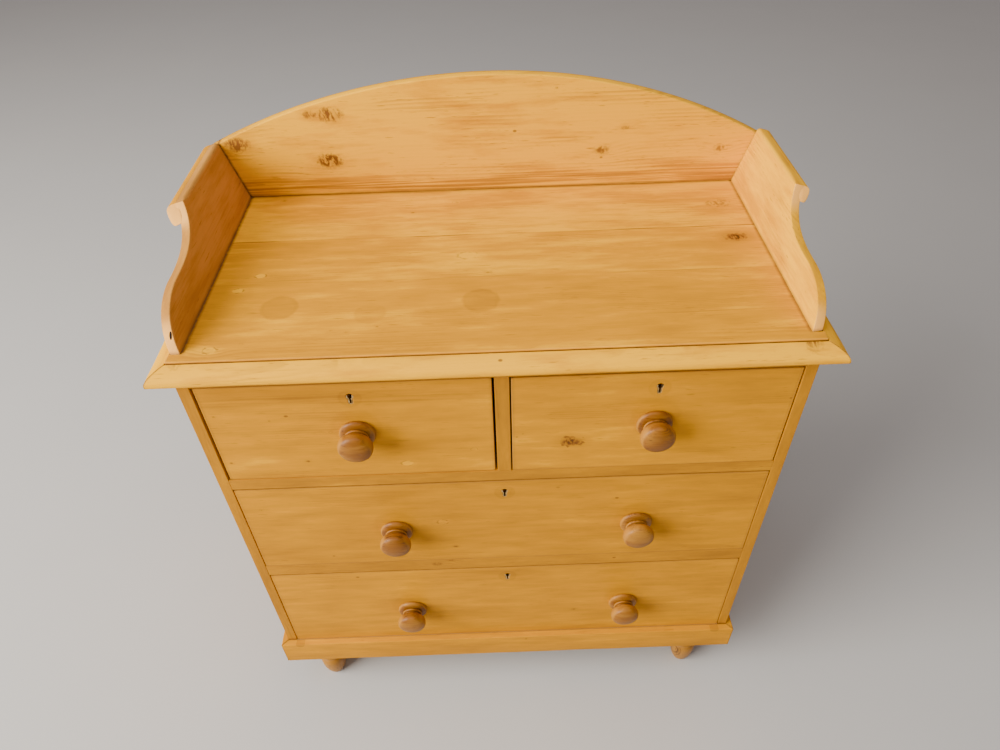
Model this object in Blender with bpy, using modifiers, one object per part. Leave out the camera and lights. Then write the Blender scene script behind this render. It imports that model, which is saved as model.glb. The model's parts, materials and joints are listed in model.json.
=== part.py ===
"""Pine washstand: a chest of two short and two long drawers on turned feet.

The top carries an arched splashback and two leaning, ogee-cut gallery sides.
Units are metres. X runs to the right, Y to the back and Z up. The origin is at
floor level, midway across the width and midway between knob faces and back.
"""
import bmesh
import bpy
from math import asin, cos, degrees, pi, radians, sin, sqrt, tan
from mathutils import Matrix, Vector

# Carcass
CARCASS_WIDTH = 0.860
CARCASS_DEPTH = 0.446
SIDE_THICKNESS = 0.017
TOP_THICKNESS = 0.020
TOP_ARRIS = 0.0012
BACK_THICKNESS = 0.010
BACK_REBATE = 0.009
BOTTOM_THICKNESS = 0.018
DUSTBOARD_THICKNESS = 0.010
HOUSING_DEPTH = 0.006
HOUSING_STOP = 0.012

# Front rails and the divider of the short drawers
RAIL_DEPTH = 0.060
TOP_RAIL_HEIGHT = 0.027
UPPER_RAIL_HEIGHT = 0.022
LOWER_RAIL_HEIGHT = 0.028
TONGUE_LENGTH = 0.006
TONGUE_THICKNESS = 0.004
TONGUE_DROP = 0.003
DIVIDER_WIDTH = 0.0205
DIVIDER_SHIFT = 0.005
DIVIDER_POST_DEPTH = 0.024
DIVIDER_GUIDE_HEIGHT = 0.022
TENON_LENGTH = 0.008
TENON_SHOULDER_WIDTH = 0.004
TENON_SHOULDER_DEPTH = 0.006
STOP_WIDTH = 0.040
STOP_DEPTH = 0.020
STOP_HEIGHT = 0.006
STOP_INSET = 0.070

# Drawer openings, from the top down
SHORT_OPENING = 0.1925
MIDDLE_OPENING = 0.2095
LOWER_OPENING = 0.229

# Moulding round the top board
MOULDING_PROJECTION = 0.025
MOULDING_STEP = 0.0025
MOULDING_HEIGHT = 0.0215
MOULDING_NOSE_DROP = 0.0175
MOULDING_TOE = 0.002

# Plinth and feet
PLINTH_HEIGHT = 0.061
PLINTH_THICKNESS = 0.012
PLINTH_ARRIS = 0.0015
FOOT_HEIGHT = 0.112
FOOT_SIDE_INSET = 0.074
FOOT_FRONT_INSET = 0.039
FOOT_BACK_INSET = 0.045
FOOT_BLOCK_HALF = 0.0255
FOOT_COLLAR_RADIUS = 0.028
FOOT_COLLAR_HEIGHT = 0.006
FOOT_NECK_RADIUS = 0.0155
FOOT_BEAD_RADIUS = 0.022
FOOT_BEAD_HEIGHT = 0.008
FOOT_BULB_RADIUS = 0.0245
FOOT_BULB_DROP = 0.060
FOOT_TOE_RADIUS = 0.0125
FOOT_SEGMENTS = 22

# Gallery
SPLASH_THICKNESS = 0.018
SPLASH_PEAK = 0.194
LEFT_SPLASH_RADIUS = 1.070
RIGHT_SPLASH_RADIUS = 0.935
SPLASH_ARRIS = 0.002
GALLERY_THICKNESS = 0.014
GALLERY_LEAN = radians(16.25)
GALLERY_SIDE_INSET = 0.017
LEFT_GALLERY_HEIGHT = 0.105
RIGHT_GALLERY_HEIGHT = 0.097
GALLERY_ROUNDING = 0.006
GALLERY_TOE = 0.015
GALLERY_WAIST = 0.115
LEFT_WAIST_HEIGHT = 0.0565
RIGHT_WAIST_HEIGHT = 0.048
GALLERY_HORN = 0.237
GALLERY_BUTT_GAP = 0.0009
LEFT_ROLL_WIDTH = 0.0175
RIGHT_ROLL_WIDTH = 0.0115
LEFT_ROLL_HEIGHT = 0.029
RIGHT_ROLL_HEIGHT = 0.0215
ROLL_ROUNDING = 0.010

# Drawer boxes
DRAWER_FRONT_THICKNESS = 0.020
DRAWER_SIDE_THICKNESS = 0.011
DRAWER_BACK_THICKNESS = 0.012
DRAWER_BOTTOM_THICKNESS = 0.007
DRAWER_BACK_ROOM = 0.014
DRAWER_BACK_DROP = 0.008
GROOVE_DEPTH = 0.005
GROOVE_LEVEL = 0.010
DOVETAIL_LENGTH = 0.014
DOVETAIL_SLOPE = 1 / 7
DOVETAIL_PITCH = 0.048
PIN_WIDTH = 0.010
UPPER_LEFT_SET_BACK = 0.0015

# Knobs
KNOB_PROJECTION = 0.041
KNOB_HEAD_RADIUS = 0.0252
KNOB_HEAD_LEVEL = 0.0265
KNOB_HEAD_BACK = 0.0165
KNOB_NECK_RADIUS = 0.0135
KNOB_BEAD_RADIUS = 0.0175
KNOB_BEAD_LEVEL = 0.0108
KNOB_FLANGE_RADIUS = 0.0262
KNOB_FLANGE_HEIGHT = 0.0075
KNOB_STEM_RADIUS = 0.007
KNOB_STEM_LENGTH = 0.018
KNOB_SEGMENTS = 22
SHORT_KNOB_SHIFT = 0.0066
LONG_KNOB_LEFT_INSET = 0.255
LONG_KNOB_RIGHT_INSET = 0.2125
SHORT_KNOB_DROP = 0.0025
LONG_KNOB_DROP = 0.014

# Locks
LOCK_WIDTH = 0.064
LOCK_HEIGHT = 0.048
LOCK_PLATE = 0.002
LOCK_CASE_WIDTH = 0.046
LOCK_CASE_THICKNESS = 0.011
LOCK_SELVEDGE = 0.0025
LOCK_CASE_MARGIN = 0.004
BOLT_WIDTH = 0.018
BOLT_THICKNESS = 0.0045
BOLT_HEIGHT = 0.016
BOLT_SINK = 0.0003
BOLT_TRAVEL = 0.008
BOLT_CLEARANCE = 0.0005
KEYHOLE_LEVEL = 0.025
KEYHOLE_RADIUS = 0.005
KEYHOLE_SLOT = 0.0032
KEYHOLE_LENGTH = 0.0195
LONG_KEYHOLE_SHIFT = 0.004

# Clearances
FIT = 0.0003
LONG_SIDE_GAPS = (0.0016, 0.0016)
UPPER_LEFT_SIDE_GAPS = (0.003, 0.0035)
UPPER_RIGHT_SIDE_GAPS = (0.0023, 0.0023)
DRAWER_TOP_GAP = 0.002
OVERRUN = 0.001

# Levels and planes that follow from the sizes above
FRONT = (KNOB_PROJECTION - CARCASS_DEPTH) / 2
BACK = FRONT + CARCASS_DEPTH
PANEL_FRONT = BACK - BACK_THICKNESS
HALF_WIDTH = CARCASS_WIDTH / 2
INNER_HALF = HALF_WIDTH - SIDE_THICKNESS
LOWER_FLOOR = FOOT_HEIGHT + PLINTH_HEIGHT
LOWER_CEILING = LOWER_FLOOR + LOWER_OPENING
MIDDLE_FLOOR = LOWER_CEILING + LOWER_RAIL_HEIGHT
MIDDLE_CEILING = MIDDLE_FLOOR + MIDDLE_OPENING
SHORT_FLOOR = MIDDLE_CEILING + UPPER_RAIL_HEIGHT
SHORT_CEILING = SHORT_FLOOR + SHORT_OPENING
SIDE_TOP = SHORT_CEILING + TOP_RAIL_HEIGHT
SURFACE = SIDE_TOP + TOP_THICKNESS
SPLASH_FACE = BACK - SPLASH_THICKNESS
GALLERY_FOOT = HALF_WIDTH - GALLERY_SIDE_INSET
DIVIDER_LEFT = DIVIDER_SHIFT - DIVIDER_WIDTH / 2
DIVIDER_RIGHT = DIVIDER_SHIFT + DIVIDER_WIDTH / 2
BULB_LEVEL = FOOT_HEIGHT - FOOT_BULB_DROP

WAXED_PINE = ((0.62, 0.33, 0.11), 0.42, 0.0)
INNER_PINE = ((0.52, 0.33, 0.16), 0.62, 0.0)
TURNED_WOOD = ((0.38, 0.19, 0.07), 0.36, 0.0)
LOCK_BRASS = ((0.55, 0.40, 0.18), 0.38, 1.0)
BOLT_IRON = ((0.30, 0.29, 0.28), 0.45, 1.0)

# The left roll reaches further out than the right one: half the difference centres the whole
CENTRING = ((LEFT_ROLL_WIDTH - RIGHT_ROLL_WIDTH) * cos(GALLERY_LEAN)
            + (LEFT_GALLERY_HEIGHT - RIGHT_GALLERY_HEIGHT) * sin(GALLERY_LEAN)) / 2

# Where each drawer reaches from and to, between its side gaps
LONG_SPAN = (LONG_SIDE_GAPS[0] - INNER_HALF, INNER_HALF - LONG_SIDE_GAPS[1])
UPPER_LEFT_SPAN = (UPPER_LEFT_SIDE_GAPS[0] - INNER_HALF, DIVIDER_LEFT - UPPER_LEFT_SIDE_GAPS[1])
UPPER_RIGHT_SPAN = (DIVIDER_RIGHT + UPPER_RIGHT_SIDE_GAPS[0],
                    INNER_HALF - UPPER_RIGHT_SIDE_GAPS[1])

# Rotations that stand a flat outline up: its u, v and thickness directions
STANDING = {
    "plan": Matrix(((1, 0, 0), (0, 1, 0), (0, 0, 1))),
    "front": Matrix(((1, 0, 0), (0, 0, -1), (0, 1, 0))),
    "side": Matrix(((0, 0, 1), (1, 0, 0), (0, 1, 0))),
}
THICKNESS_AXIS = {"plan": "z", "front": "y", "side": "x"}


def clear_scene():
    """Remove everything that the start-up scene holds."""
    for item in list(bpy.data.objects):
        bpy.data.objects.remove(item, do_unlink=True)


def new_collection(name):
    """Collection linked under the scene."""
    collection = bpy.data.collections.new(name)
    bpy.context.scene.collection.children.link(collection)
    return collection


clear_scene()
PARTS = new_collection("washstand")
CUTTERS = new_collection("washstand_cutters")
STAND = bpy.data.objects.new("stand", None)
STAND.location.x = CENTRING
PARTS.objects.link(STAND)


def finish_material(name, finish):
    """Principled material for one piece, from its colour, roughness and metallic value."""
    colour, roughness, metallic = finish
    material = bpy.data.materials.new(name)
    material.use_nodes = True
    material.diffuse_color = (*colour, 1.0)
    shader = material.node_tree.nodes["Principled BSDF"]
    shader.inputs["Base Color"].default_value = (*colour, 1.0)
    shader.inputs["Roughness"].default_value = roughness
    shader.inputs["Metallic"].default_value = metallic
    return material


def add_object(name, mesh, finish, parent):
    """Put a mesh in the scene as a piece, or as a cutter when it has no finish."""
    item = bpy.data.objects.new(name, mesh)
    if finish is None:
        CUTTERS.objects.link(item)
        item.hide_render = True
        item.display_type = "WIRE"
    else:
        PARTS.objects.link(item)
        mesh.materials.append(finish_material(name + "_finish", finish))
    item.parent = parent or STAND
    return item


def add_frame(name, location, rotation=(0.0, 0.0, 0.0)):
    """Empty that carries pieces placed in its own frame."""
    frame = bpy.data.objects.new(name, None)
    PARTS.objects.link(frame)
    frame.location = location
    frame.rotation_euler = rotation
    frame.parent = STAND
    return frame


def tidy_mesh(mesh):
    """Weld loose seams and point the faces outwards."""
    work = bmesh.new()
    work.from_mesh(mesh)
    bmesh.ops.remove_doubles(work, verts=work.verts, dist=0.00001)
    bmesh.ops.recalc_face_normals(work, faces=work.faces)
    work.to_mesh(mesh)
    work.free()


def board(name, low, high, finish=None, parent=None):
    """Square-edged board between two corners."""
    low = Vector(low)
    high = Vector(high)
    mesh = bpy.data.meshes.new(name)
    work = bmesh.new()
    bmesh.ops.create_cube(work, size=1.0, matrix=Matrix.Diagonal((*(high - low), 1.0)))
    work.to_mesh(mesh)
    work.free()
    item = add_object(name, mesh, finish, parent)
    item.location = (low + high) / 2
    return item


def sawn(name, outlines, low, high, plane, finish=None, parent=None):
    """Flat outlines sawn from a board that lies between low and high across its plane."""
    curve = bpy.data.curves.new(name, "CURVE")
    curve.dimensions = "2D"
    curve.fill_mode = "BOTH"
    curve.extrude = (high - low) / 2
    for outline in outlines:
        spline = curve.splines.new("POLY")
        spline.points.add(len(outline) - 1)
        for point, (u, v) in zip(spline.points, outline):
            point.co = (u, v, 0.0, 1.0)
        spline.use_cyclic_u = True
    flat = bpy.data.objects.new(name, curve)
    CUTTERS.objects.link(flat)
    flat.hide_render = True
    depsgraph = bpy.context.evaluated_depsgraph_get()
    mesh = bpy.data.meshes.new_from_object(flat.evaluated_get(depsgraph))
    bpy.data.objects.remove(flat, do_unlink=True)
    bpy.data.curves.remove(curve)
    mesh.name = name
    mesh.materials.clear()
    tidy_mesh(mesh)
    item = add_object(name, mesh, finish, parent)
    item.rotation_euler = STANDING[plane].to_euler()
    setattr(item.location, THICKNESS_AXIS[plane], (low + high) / 2)
    return item


def turned(name, profile, segments, finish, parent=None):
    """Turned piece: a profile of (radius, height) points, top to bottom, screwed round Z."""
    mesh = bpy.data.meshes.new(name)
    points = [(radius, 0.0, height) for radius, height in profile]
    mesh.from_pydata(points, [(i, i + 1) for i in range(len(points) - 1)], [])
    item = add_object(name, mesh, finish, parent)
    screw = item.modifiers.new("turning", "SCREW")
    screw.axis = "Z"
    screw.angle = 2 * pi
    screw.steps = segments
    screw.render_steps = segments
    screw.use_merge_vertices = True
    screw.merge_threshold = 0.00002
    screw.use_smooth_shade = True
    return item


def cylinder(name, radius, low, high, segments, parent):
    """Round cutter that runs along Y between two depths, centred on its frame's X and Z."""
    mesh = bpy.data.meshes.new(name)
    work = bmesh.new()
    bmesh.ops.create_cone(work, cap_ends=True, segments=segments, radius1=radius,
                          radius2=radius, depth=high - low)
    work.to_mesh(mesh)
    work.free()
    item = add_object(name, mesh, None, parent)
    item.rotation_euler = (pi / 2, 0.0, 0.0)
    item.location = (0.0, (low + high) / 2, 0.0)
    return item


def join(target, other, operation="DIFFERENCE"):
    """Cut, add or intersect another shape with a piece."""
    modifier = target.modifiers.new(other.name, "BOOLEAN")
    modifier.object = other
    modifier.operation = operation
    modifier.solver = "EXACT"


def ease(target, width):
    """Take the sharp arris off a piece's square edges."""
    modifier = target.modifiers.new("arris", "BEVEL")
    modifier.width = width
    modifier.segments = 1
    modifier.limit_method = "ANGLE"
    modifier.angle_limit = radians(50)


def arc(centre, radii, start, end, steps):
    """Points on an elliptical arc, with angles in degrees from the first axis."""
    points = []
    for i in range(steps + 1):
        angle = radians(start + (end - start) * i / steps)
        points.append((centre[0] + radii[0] * cos(angle), centre[1] + radii[1] * sin(angle)))
    return points


def bezier(a, b, c, d, steps):
    """Points on a cubic curve, with both ends."""
    points = []
    for i in range(steps + 1):
        t = i / steps
        weights = ((1 - t) ** 3, 3 * t * (1 - t) ** 2, 3 * t * t * (1 - t), t ** 3)
        points.append(tuple(sum(w * p[k] for w, p in zip(weights, (a, b, c, d))) for k in (0, 1)))
    return points


def rectangle(u_low, u_high, v_low, v_high):
    """Four corners of a flat rectangle."""
    return [(u_low, v_low), (u_high, v_low), (u_high, v_high), (u_low, v_high)]


# Carcass

def housed_board(name, low, high, back, finish):
    """Board let into both sides, its front corners cut back to where the housings stop."""
    reach = INNER_HALF + HOUSING_DEPTH - FIT
    piece = board(name, (-reach, FRONT, low), (reach, back, high), finish)
    for hand in (-1, 1):
        width = sorted((hand * (INNER_HALF - FIT), hand * (reach + OVERRUN)))
        join(piece, board(f"{name}_corner_{hand + 1}", (width[0], FRONT - OVERRUN, low - OVERRUN),
                          (width[1], FRONT + HOUSING_STOP + FIT, high + OVERRUN)))
    return piece


def rail_housing(low, high):
    """Stopped housing in depth and height, for a rail and the thin board behind it."""
    stop = FRONT + HOUSING_STOP
    rail_back = FRONT + RAIL_DEPTH + FIT
    back = PANEL_FRONT + OVERRUN
    board_low = high - DUSTBOARD_THICKNESS
    return [(stop, low - FIT), (rail_back, low - FIT), (rail_back, board_low - FIT),
            (back, board_low - FIT), (back, high + FIT), (stop, high + FIT)]


def carcass_side(name, hand):
    """Side of the carcass, rebated for the back and housed for each board that it carries."""
    outer = hand * HALF_WIDTH
    inner = hand * INNER_HALF
    rebate = hand * (HALF_WIDTH - BACK_REBATE)
    plan = [(outer, FRONT), (inner, FRONT), (inner, PANEL_FRONT - FIT),
            (rebate, PANEL_FRONT - FIT), (rebate, BACK), (outer, BACK)]
    side = sawn(name, [plan], FOOT_HEIGHT, SIDE_TOP, "plan", WAXED_PINE)
    stop = FRONT + HOUSING_STOP
    housings = [
        rectangle(stop, PANEL_FRONT + OVERRUN, LOWER_FLOOR - BOTTOM_THICKNESS - FIT,
                  LOWER_FLOOR + FIT),
        rail_housing(LOWER_CEILING, MIDDLE_FLOOR),
        rail_housing(MIDDLE_CEILING, SHORT_FLOOR),
        rectangle(stop, FRONT + RAIL_DEPTH + FIT, SHORT_CEILING - FIT, SIDE_TOP + OVERRUN),
    ]
    reach = sorted((hand * (INNER_HALF - OVERRUN), hand * (INNER_HALF + HOUSING_DEPTH)))
    for number, outline in enumerate(housings):
        join(side, sawn(f"{name}_housing_{number}", [outline], reach[0], reach[1], "side"))
    return side


def rail(name, low, high):
    """Front rail between the sides."""
    return housed_board(name, low, high, FRONT + RAIL_DEPTH, WAXED_PINE)


def groove_rail(piece, floor):
    """Groove along the back of a rail for the tongue of the dustboard at that floor level."""
    reach = INNER_HALF + HOUSING_DEPTH + OVERRUN
    back = FRONT + RAIL_DEPTH
    top = floor - TONGUE_DROP
    groove = board(
        piece.name + "_groove",
        (-reach, back - TONGUE_LENGTH - FIT, top - TONGUE_THICKNESS - FIT),
        (reach, back + OVERRUN, top + FIT),
    )
    join(piece, groove)


def dustboard(name, floor):
    """Thin board behind a rail, level with it on top and tongued into it."""
    front = FRONT + RAIL_DEPTH + FIT
    tip = FRONT + RAIL_DEPTH - TONGUE_LENGTH
    back = PANEL_FRONT - FIT
    low = floor - DUSTBOARD_THICKNESS
    tongue_top = floor - TONGUE_DROP
    tongue_low = tongue_top - TONGUE_THICKNESS
    section = [(front, low), (back, low), (back, floor), (front, floor),
               (front, tongue_top), (tip, tongue_top), (tip, tongue_low), (front, tongue_low)]
    reach = INNER_HALF + HOUSING_DEPTH - FIT
    return sawn(name, [section], -reach, reach, "side", INNER_PINE)


def add_stops(piece, floor, places):
    """Blocks that meet the inner face of a drawer front as the drawer closes."""
    for number, (x, set_back) in enumerate(places):
        front = FRONT + set_back + DRAWER_FRONT_THICKNESS + FIT
        stop = board(
            f"{piece.name}_stop_{number}",
            (x - STOP_WIDTH / 2, front, floor - OVERRUN),
            (x + STOP_WIDTH / 2, front + STOP_DEPTH, floor + STOP_HEIGHT),
        )
        join(piece, stop, "UNION")


def mortise(piece, low, high):
    """Square pocket in a piece."""
    join(piece, board(f"{piece.name}_mortise_{len(piece.modifiers)}", low, high))


def keyhole_of(span):
    """Where the knob and the keyhole of a short drawer stand."""
    return sum(span) / 2 + SHORT_KNOB_SHIFT


def bolt_mortise(piece, x, ceiling, set_back):
    """Pocket above a drawer for its lock bolt."""
    middle = FRONT + set_back + BOLT_MIDDLE
    half_width = BOLT_WIDTH / 2 + 2 * BOLT_CLEARANCE
    half_depth = BOLT_THICKNESS / 2 + 2 * BOLT_CLEARANCE
    mortise(piece, (x - half_width, middle - half_depth, ceiling - OVERRUN),
            (x + half_width, middle + half_depth, ceiling + BOLT_TRAVEL))


def divider():
    """Post between the short drawers, tenoned into both rails, with the guide behind it."""
    low = SHORT_FLOOR + FIT
    high = SHORT_CEILING - FIT
    back = PANEL_FRONT - FIT
    post = FRONT + DIVIDER_POST_DEPTH
    section = [(FRONT, low), (back, low), (back, low + DIVIDER_GUIDE_HEIGHT),
               (post, low + DIVIDER_GUIDE_HEIGHT), (post, high), (FRONT, high)]
    piece = sawn("centre_divider", [section], DIVIDER_LEFT, DIVIDER_RIGHT, "side", WAXED_PINE)
    tenon = board(
        "centre_divider_tenons",
        (DIVIDER_LEFT + TENON_SHOULDER_WIDTH, FRONT + TENON_SHOULDER_DEPTH,
         low - TENON_LENGTH),
        (DIVIDER_RIGHT - TENON_SHOULDER_WIDTH, post - TENON_SHOULDER_DEPTH,
         high + TENON_LENGTH),
    )
    join(piece, tenon, "UNION")
    return piece


def tenon_mortise(piece, low, high):
    """Pocket for one tenon of the divider."""
    inset = TENON_SHOULDER_WIDTH - FIT
    front = FRONT + TENON_SHOULDER_DEPTH - FIT
    back = FRONT + DIVIDER_POST_DEPTH - TENON_SHOULDER_DEPTH + FIT
    mortise(piece, (DIVIDER_LEFT + inset, front, low), (DIVIDER_RIGHT - inset, back, high))


def carcass():
    """Sides, rails, boards, back and top."""
    carcass_side("side_left", -1)
    carcass_side("side_right", 1)

    top = board("top_board", (-HALF_WIDTH, FRONT, SIDE_TOP + FIT), (HALF_WIDTH, BACK, SURFACE),
                WAXED_PINE)
    ease(top, TOP_ARRIS)

    top_rail = rail("top_rail", SHORT_CEILING, SIDE_TOP)
    upper_rail = rail("upper_rail", MIDDLE_CEILING, SHORT_FLOOR)
    lower_rail = rail("lower_rail", LOWER_CEILING, MIDDLE_FLOOR)
    groove_rail(upper_rail, SHORT_FLOOR)
    groove_rail(lower_rail, MIDDLE_FLOOR)
    dustboard("upper_dustboard", SHORT_FLOOR)
    dustboard("lower_dustboard", MIDDLE_FLOOR)

    divider()
    tenon_mortise(top_rail, SHORT_CEILING - OVERRUN, SHORT_CEILING + TENON_LENGTH)
    tenon_mortise(upper_rail, SHORT_FLOOR - TENON_LENGTH, SHORT_FLOOR + OVERRUN)

    bottom = housed_board("bottom_board", LOWER_FLOOR - BOTTOM_THICKNESS, LOWER_FLOOR,
                          PANEL_FRONT - FIT, INNER_PINE)

    add_stops(upper_rail, SHORT_FLOOR, [
        (STOP_INSET - INNER_HALF, UPPER_LEFT_SET_BACK),
        (DIVIDER_LEFT - STOP_INSET, UPPER_LEFT_SET_BACK),
        (DIVIDER_RIGHT + STOP_INSET, 0.0),
        (INNER_HALF - STOP_INSET, 0.0),
    ])
    long_stops = [(-INNER_HALF + STOP_INSET, 0.0), (INNER_HALF - STOP_INSET, 0.0)]
    add_stops(lower_rail, MIDDLE_FLOOR, long_stops)
    add_stops(bottom, LOWER_FLOOR, long_stops)

    bolt_mortise(top_rail, keyhole_of(UPPER_LEFT_SPAN), SHORT_CEILING, UPPER_LEFT_SET_BACK)
    bolt_mortise(top_rail, keyhole_of(UPPER_RIGHT_SPAN), SHORT_CEILING, 0.0)
    bolt_mortise(upper_rail, LONG_KEYHOLE_SHIFT, MIDDLE_CEILING, 0.0)
    bolt_mortise(lower_rail, LONG_KEYHOLE_SHIFT, LOWER_CEILING, 0.0)

    reach = HALF_WIDTH - BACK_REBATE - FIT
    board("back_panel", (-reach, PANEL_FRONT, LOWER_FLOOR - BOTTOM_THICKNESS),
          (reach, BACK, SIDE_TOP), INNER_PINE)


# Moulding and plinth

def mitre(piece, hand, towards):
    """Mitre a strip at a front corner, cutting away what lies towards that angle."""
    angle = radians(towards) if hand > 0 else pi - radians(towards)
    corner = add_frame(f"{piece.name}_corner_{hand + 1}", (hand * HALF_WIDTH, FRONT, SURFACE / 2),
                       (0.0, 0.0, angle))
    size = CARCASS_DEPTH
    join(piece, board(f"{piece.name}_mitre_{hand + 1}", (-FIT / 2, -size, -SURFACE),
                      (size, size, SURFACE), parent=corner))


def edge_strip(name, section, edge, finish):
    """Strip planted on an edge of the carcass and mitred at the front corners.

    The section holds (projection, level) points. The edge is front, left or right.
    """
    spare = 2 * MOULDING_PROJECTION
    if edge == "front":
        outline = [(FRONT - FIT - out, level) for out, level in section]
        strip = sawn(name, [outline], -HALF_WIDTH - spare, HALF_WIDTH + spare, "side", finish)
        for hand in (-1, 1):
            mitre(strip, hand, 45)
        return strip
    hand = -1 if edge == "left" else 1
    outline = [(hand * (HALF_WIDTH + FIT + out), level) for out, level in section]
    strip = sawn(name, [outline], FRONT - spare, BACK, "front", finish)
    mitre(strip, hand, 225)
    return strip


def moulding_section():
    """Thumb moulding: a step down from the top board, a full curve and a small toe."""
    top = SURFACE - MOULDING_STEP
    bottom = top - MOULDING_HEIGHT
    nose = top - MOULDING_NOSE_DROP
    reach = MOULDING_PROJECTION
    curve = bezier((0.0, top), (reach * 0.36, top - 0.0025), (reach, top - 0.0075), (reach, nose), 9)
    return curve + [(reach - MOULDING_TOE * 0.3, bottom + MOULDING_TOE * 0.5),
                    (reach - MOULDING_TOE, bottom), (0.0, bottom)]


def plinth_section():
    """Plain board with its upper outer arris eased."""
    return [(0.0, LOWER_FLOOR), (PLINTH_THICKNESS - PLINTH_ARRIS, LOWER_FLOOR),
            (PLINTH_THICKNESS, LOWER_FLOOR - PLINTH_ARRIS), (PLINTH_THICKNESS, FOOT_HEIGHT),
            (0.0, FOOT_HEIGHT)]


def edge_strips():
    """Moulding under the top's edge and plinth round the base."""
    for edge in ("front", "left", "right"):
        edge_strip(f"moulding_{edge}", moulding_section(), edge, WAXED_PINE)
        edge_strip(f"plinth_{edge}", plinth_section(), edge, WAXED_PINE)


# Feet

def foot_profile():
    """Turned foot: collar, cove, bead and a bulb that tapers to a small toe."""
    collar_low = FOOT_HEIGHT - FIT - FOOT_COLLAR_HEIGHT
    bead_half = FOOT_BEAD_HEIGHT / 2
    bulb_top = BULB_LEVEL + FOOT_BULB_RADIUS * 0.62
    bead_level = bulb_top + bead_half
    cove_low = bead_level + bead_half
    profile = [(0.0, FOOT_HEIGHT - FIT), (FOOT_COLLAR_RADIUS, FOOT_HEIGHT - FIT),
               (FOOT_COLLAR_RADIUS, collar_low)]
    profile += bezier((FOOT_COLLAR_RADIUS * 0.9, collar_low), (FOOT_NECK_RADIUS, collar_low),
                      (FOOT_NECK_RADIUS, cove_low), (FOOT_NECK_RADIUS, cove_low), 3)
    profile += arc((FOOT_NECK_RADIUS, bead_level),
                   (FOOT_BEAD_RADIUS - FOOT_NECK_RADIUS, bead_half), 60, -60, 3)
    profile += bezier((FOOT_NECK_RADIUS, bulb_top), (FOOT_BULB_RADIUS, bulb_top),
                      (FOOT_BULB_RADIUS, BULB_LEVEL), (FOOT_BULB_RADIUS, BULB_LEVEL), 4)[1:]
    profile += bezier((FOOT_BULB_RADIUS, BULB_LEVEL),
                      (FOOT_BULB_RADIUS, BULB_LEVEL * 0.62),
                      (FOOT_TOE_RADIUS * 1.5, BULB_LEVEL * 0.2),
                      (FOOT_TOE_RADIUS, 0.0), 6)[1:]
    return profile + [(0.0, 0.0)]


def foot(name, hand, y, block_low, block_high):
    """Turned foot with the corner block that it is dowelled into."""
    x = hand * (HALF_WIDTH + PLINTH_THICKNESS - FOOT_SIDE_INSET)
    piece = turned(name, foot_profile(), FOOT_SEGMENTS, TURNED_WOOD)
    piece.location = (x, y, 0.0)
    reach = sorted((x - hand * FOOT_BLOCK_HALF, hand * (INNER_HALF - FIT)))
    block = board(name + "_block", (reach[0], block_low, FOOT_HEIGHT - FOOT_COLLAR_HEIGHT / 2),
                  (reach[1], block_high, LOWER_FLOOR - BOTTOM_THICKNESS - FIT))
    join(piece, block, "UNION")
    return piece


def feet():
    """Four feet, one in each corner of the plinth."""
    front = FRONT - PLINTH_THICKNESS + FOOT_FRONT_INSET
    back = BACK - FOOT_BACK_INSET
    for hand, word in ((-1, "left"), (1, "right")):
        foot(f"foot_front_{word}", hand, front, FRONT + FIT, front + FOOT_BLOCK_HALF)
        foot(f"foot_back_{word}", hand, back, back - FOOT_BLOCK_HALF, BACK - FIT)


# Gallery

def gallery_profile(height, waist_height):
    """Front of a gallery side in depth and height: a swell, a flat waist and a rising hollow."""
    toe = FRONT + GALLERY_TOE
    waist = FRONT + GALLERY_WAIST
    horn = FRONT + GALLERY_HORN
    swell = waist - toe
    hollow = horn - waist
    profile = bezier((toe, 0.0), (toe + swell * 0.13, waist_height * 0.62),
                     (toe + swell * 0.51, waist_height), (waist, waist_height), 9)
    profile += bezier((waist, waist_height), (waist + hollow * 0.37, waist_height),
                      (horn - hollow * 0.15, waist_height + (height - waist_height) * 0.1),
                      (horn, height), 10)[1:]
    return profile


def gallery_blank(height, waist_height):
    """Whole outline of a gallery side, left long at its foot and above its rounded top."""
    profile = gallery_profile(height, waist_height)
    back = SPLASH_FACE - GALLERY_BUTT_GAP
    return ([(profile[0][0], -GALLERY_THICKNESS)] + profile
            + [(profile[-1][0], height + OVERRUN), (back, height + OVERRUN),
               (back, -GALLERY_THICKNESS)])


def side_section(hand, height):
    """Section of a gallery side: its foot planed level, its inner top edge rounded."""
    thickness = GALLERY_THICKNESS
    rounding = GALLERY_ROUNDING
    section = [(0.0, 0.0), (thickness, thickness * tan(GALLERY_LEAN)), (thickness, height)]
    section += arc((rounding, height - rounding), (rounding, rounding), 90, 180, 4)
    return [(hand * u, v) for u, v in section]


def roll_section(hand, height, width, drop):
    """Section of the strip along the top of a gallery side, rounded over outside."""
    inner = GALLERY_THICKNESS + FIT
    outer = inner + width
    rounding = ROLL_ROUNDING
    section = [(inner, height), (inner, height - drop), (outer - OVERRUN, height - drop)]
    section += arc((outer - rounding, height - rounding), (rounding, rounding), 0, 90, 6)
    return [(hand * u, v) for u, v in section]


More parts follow.
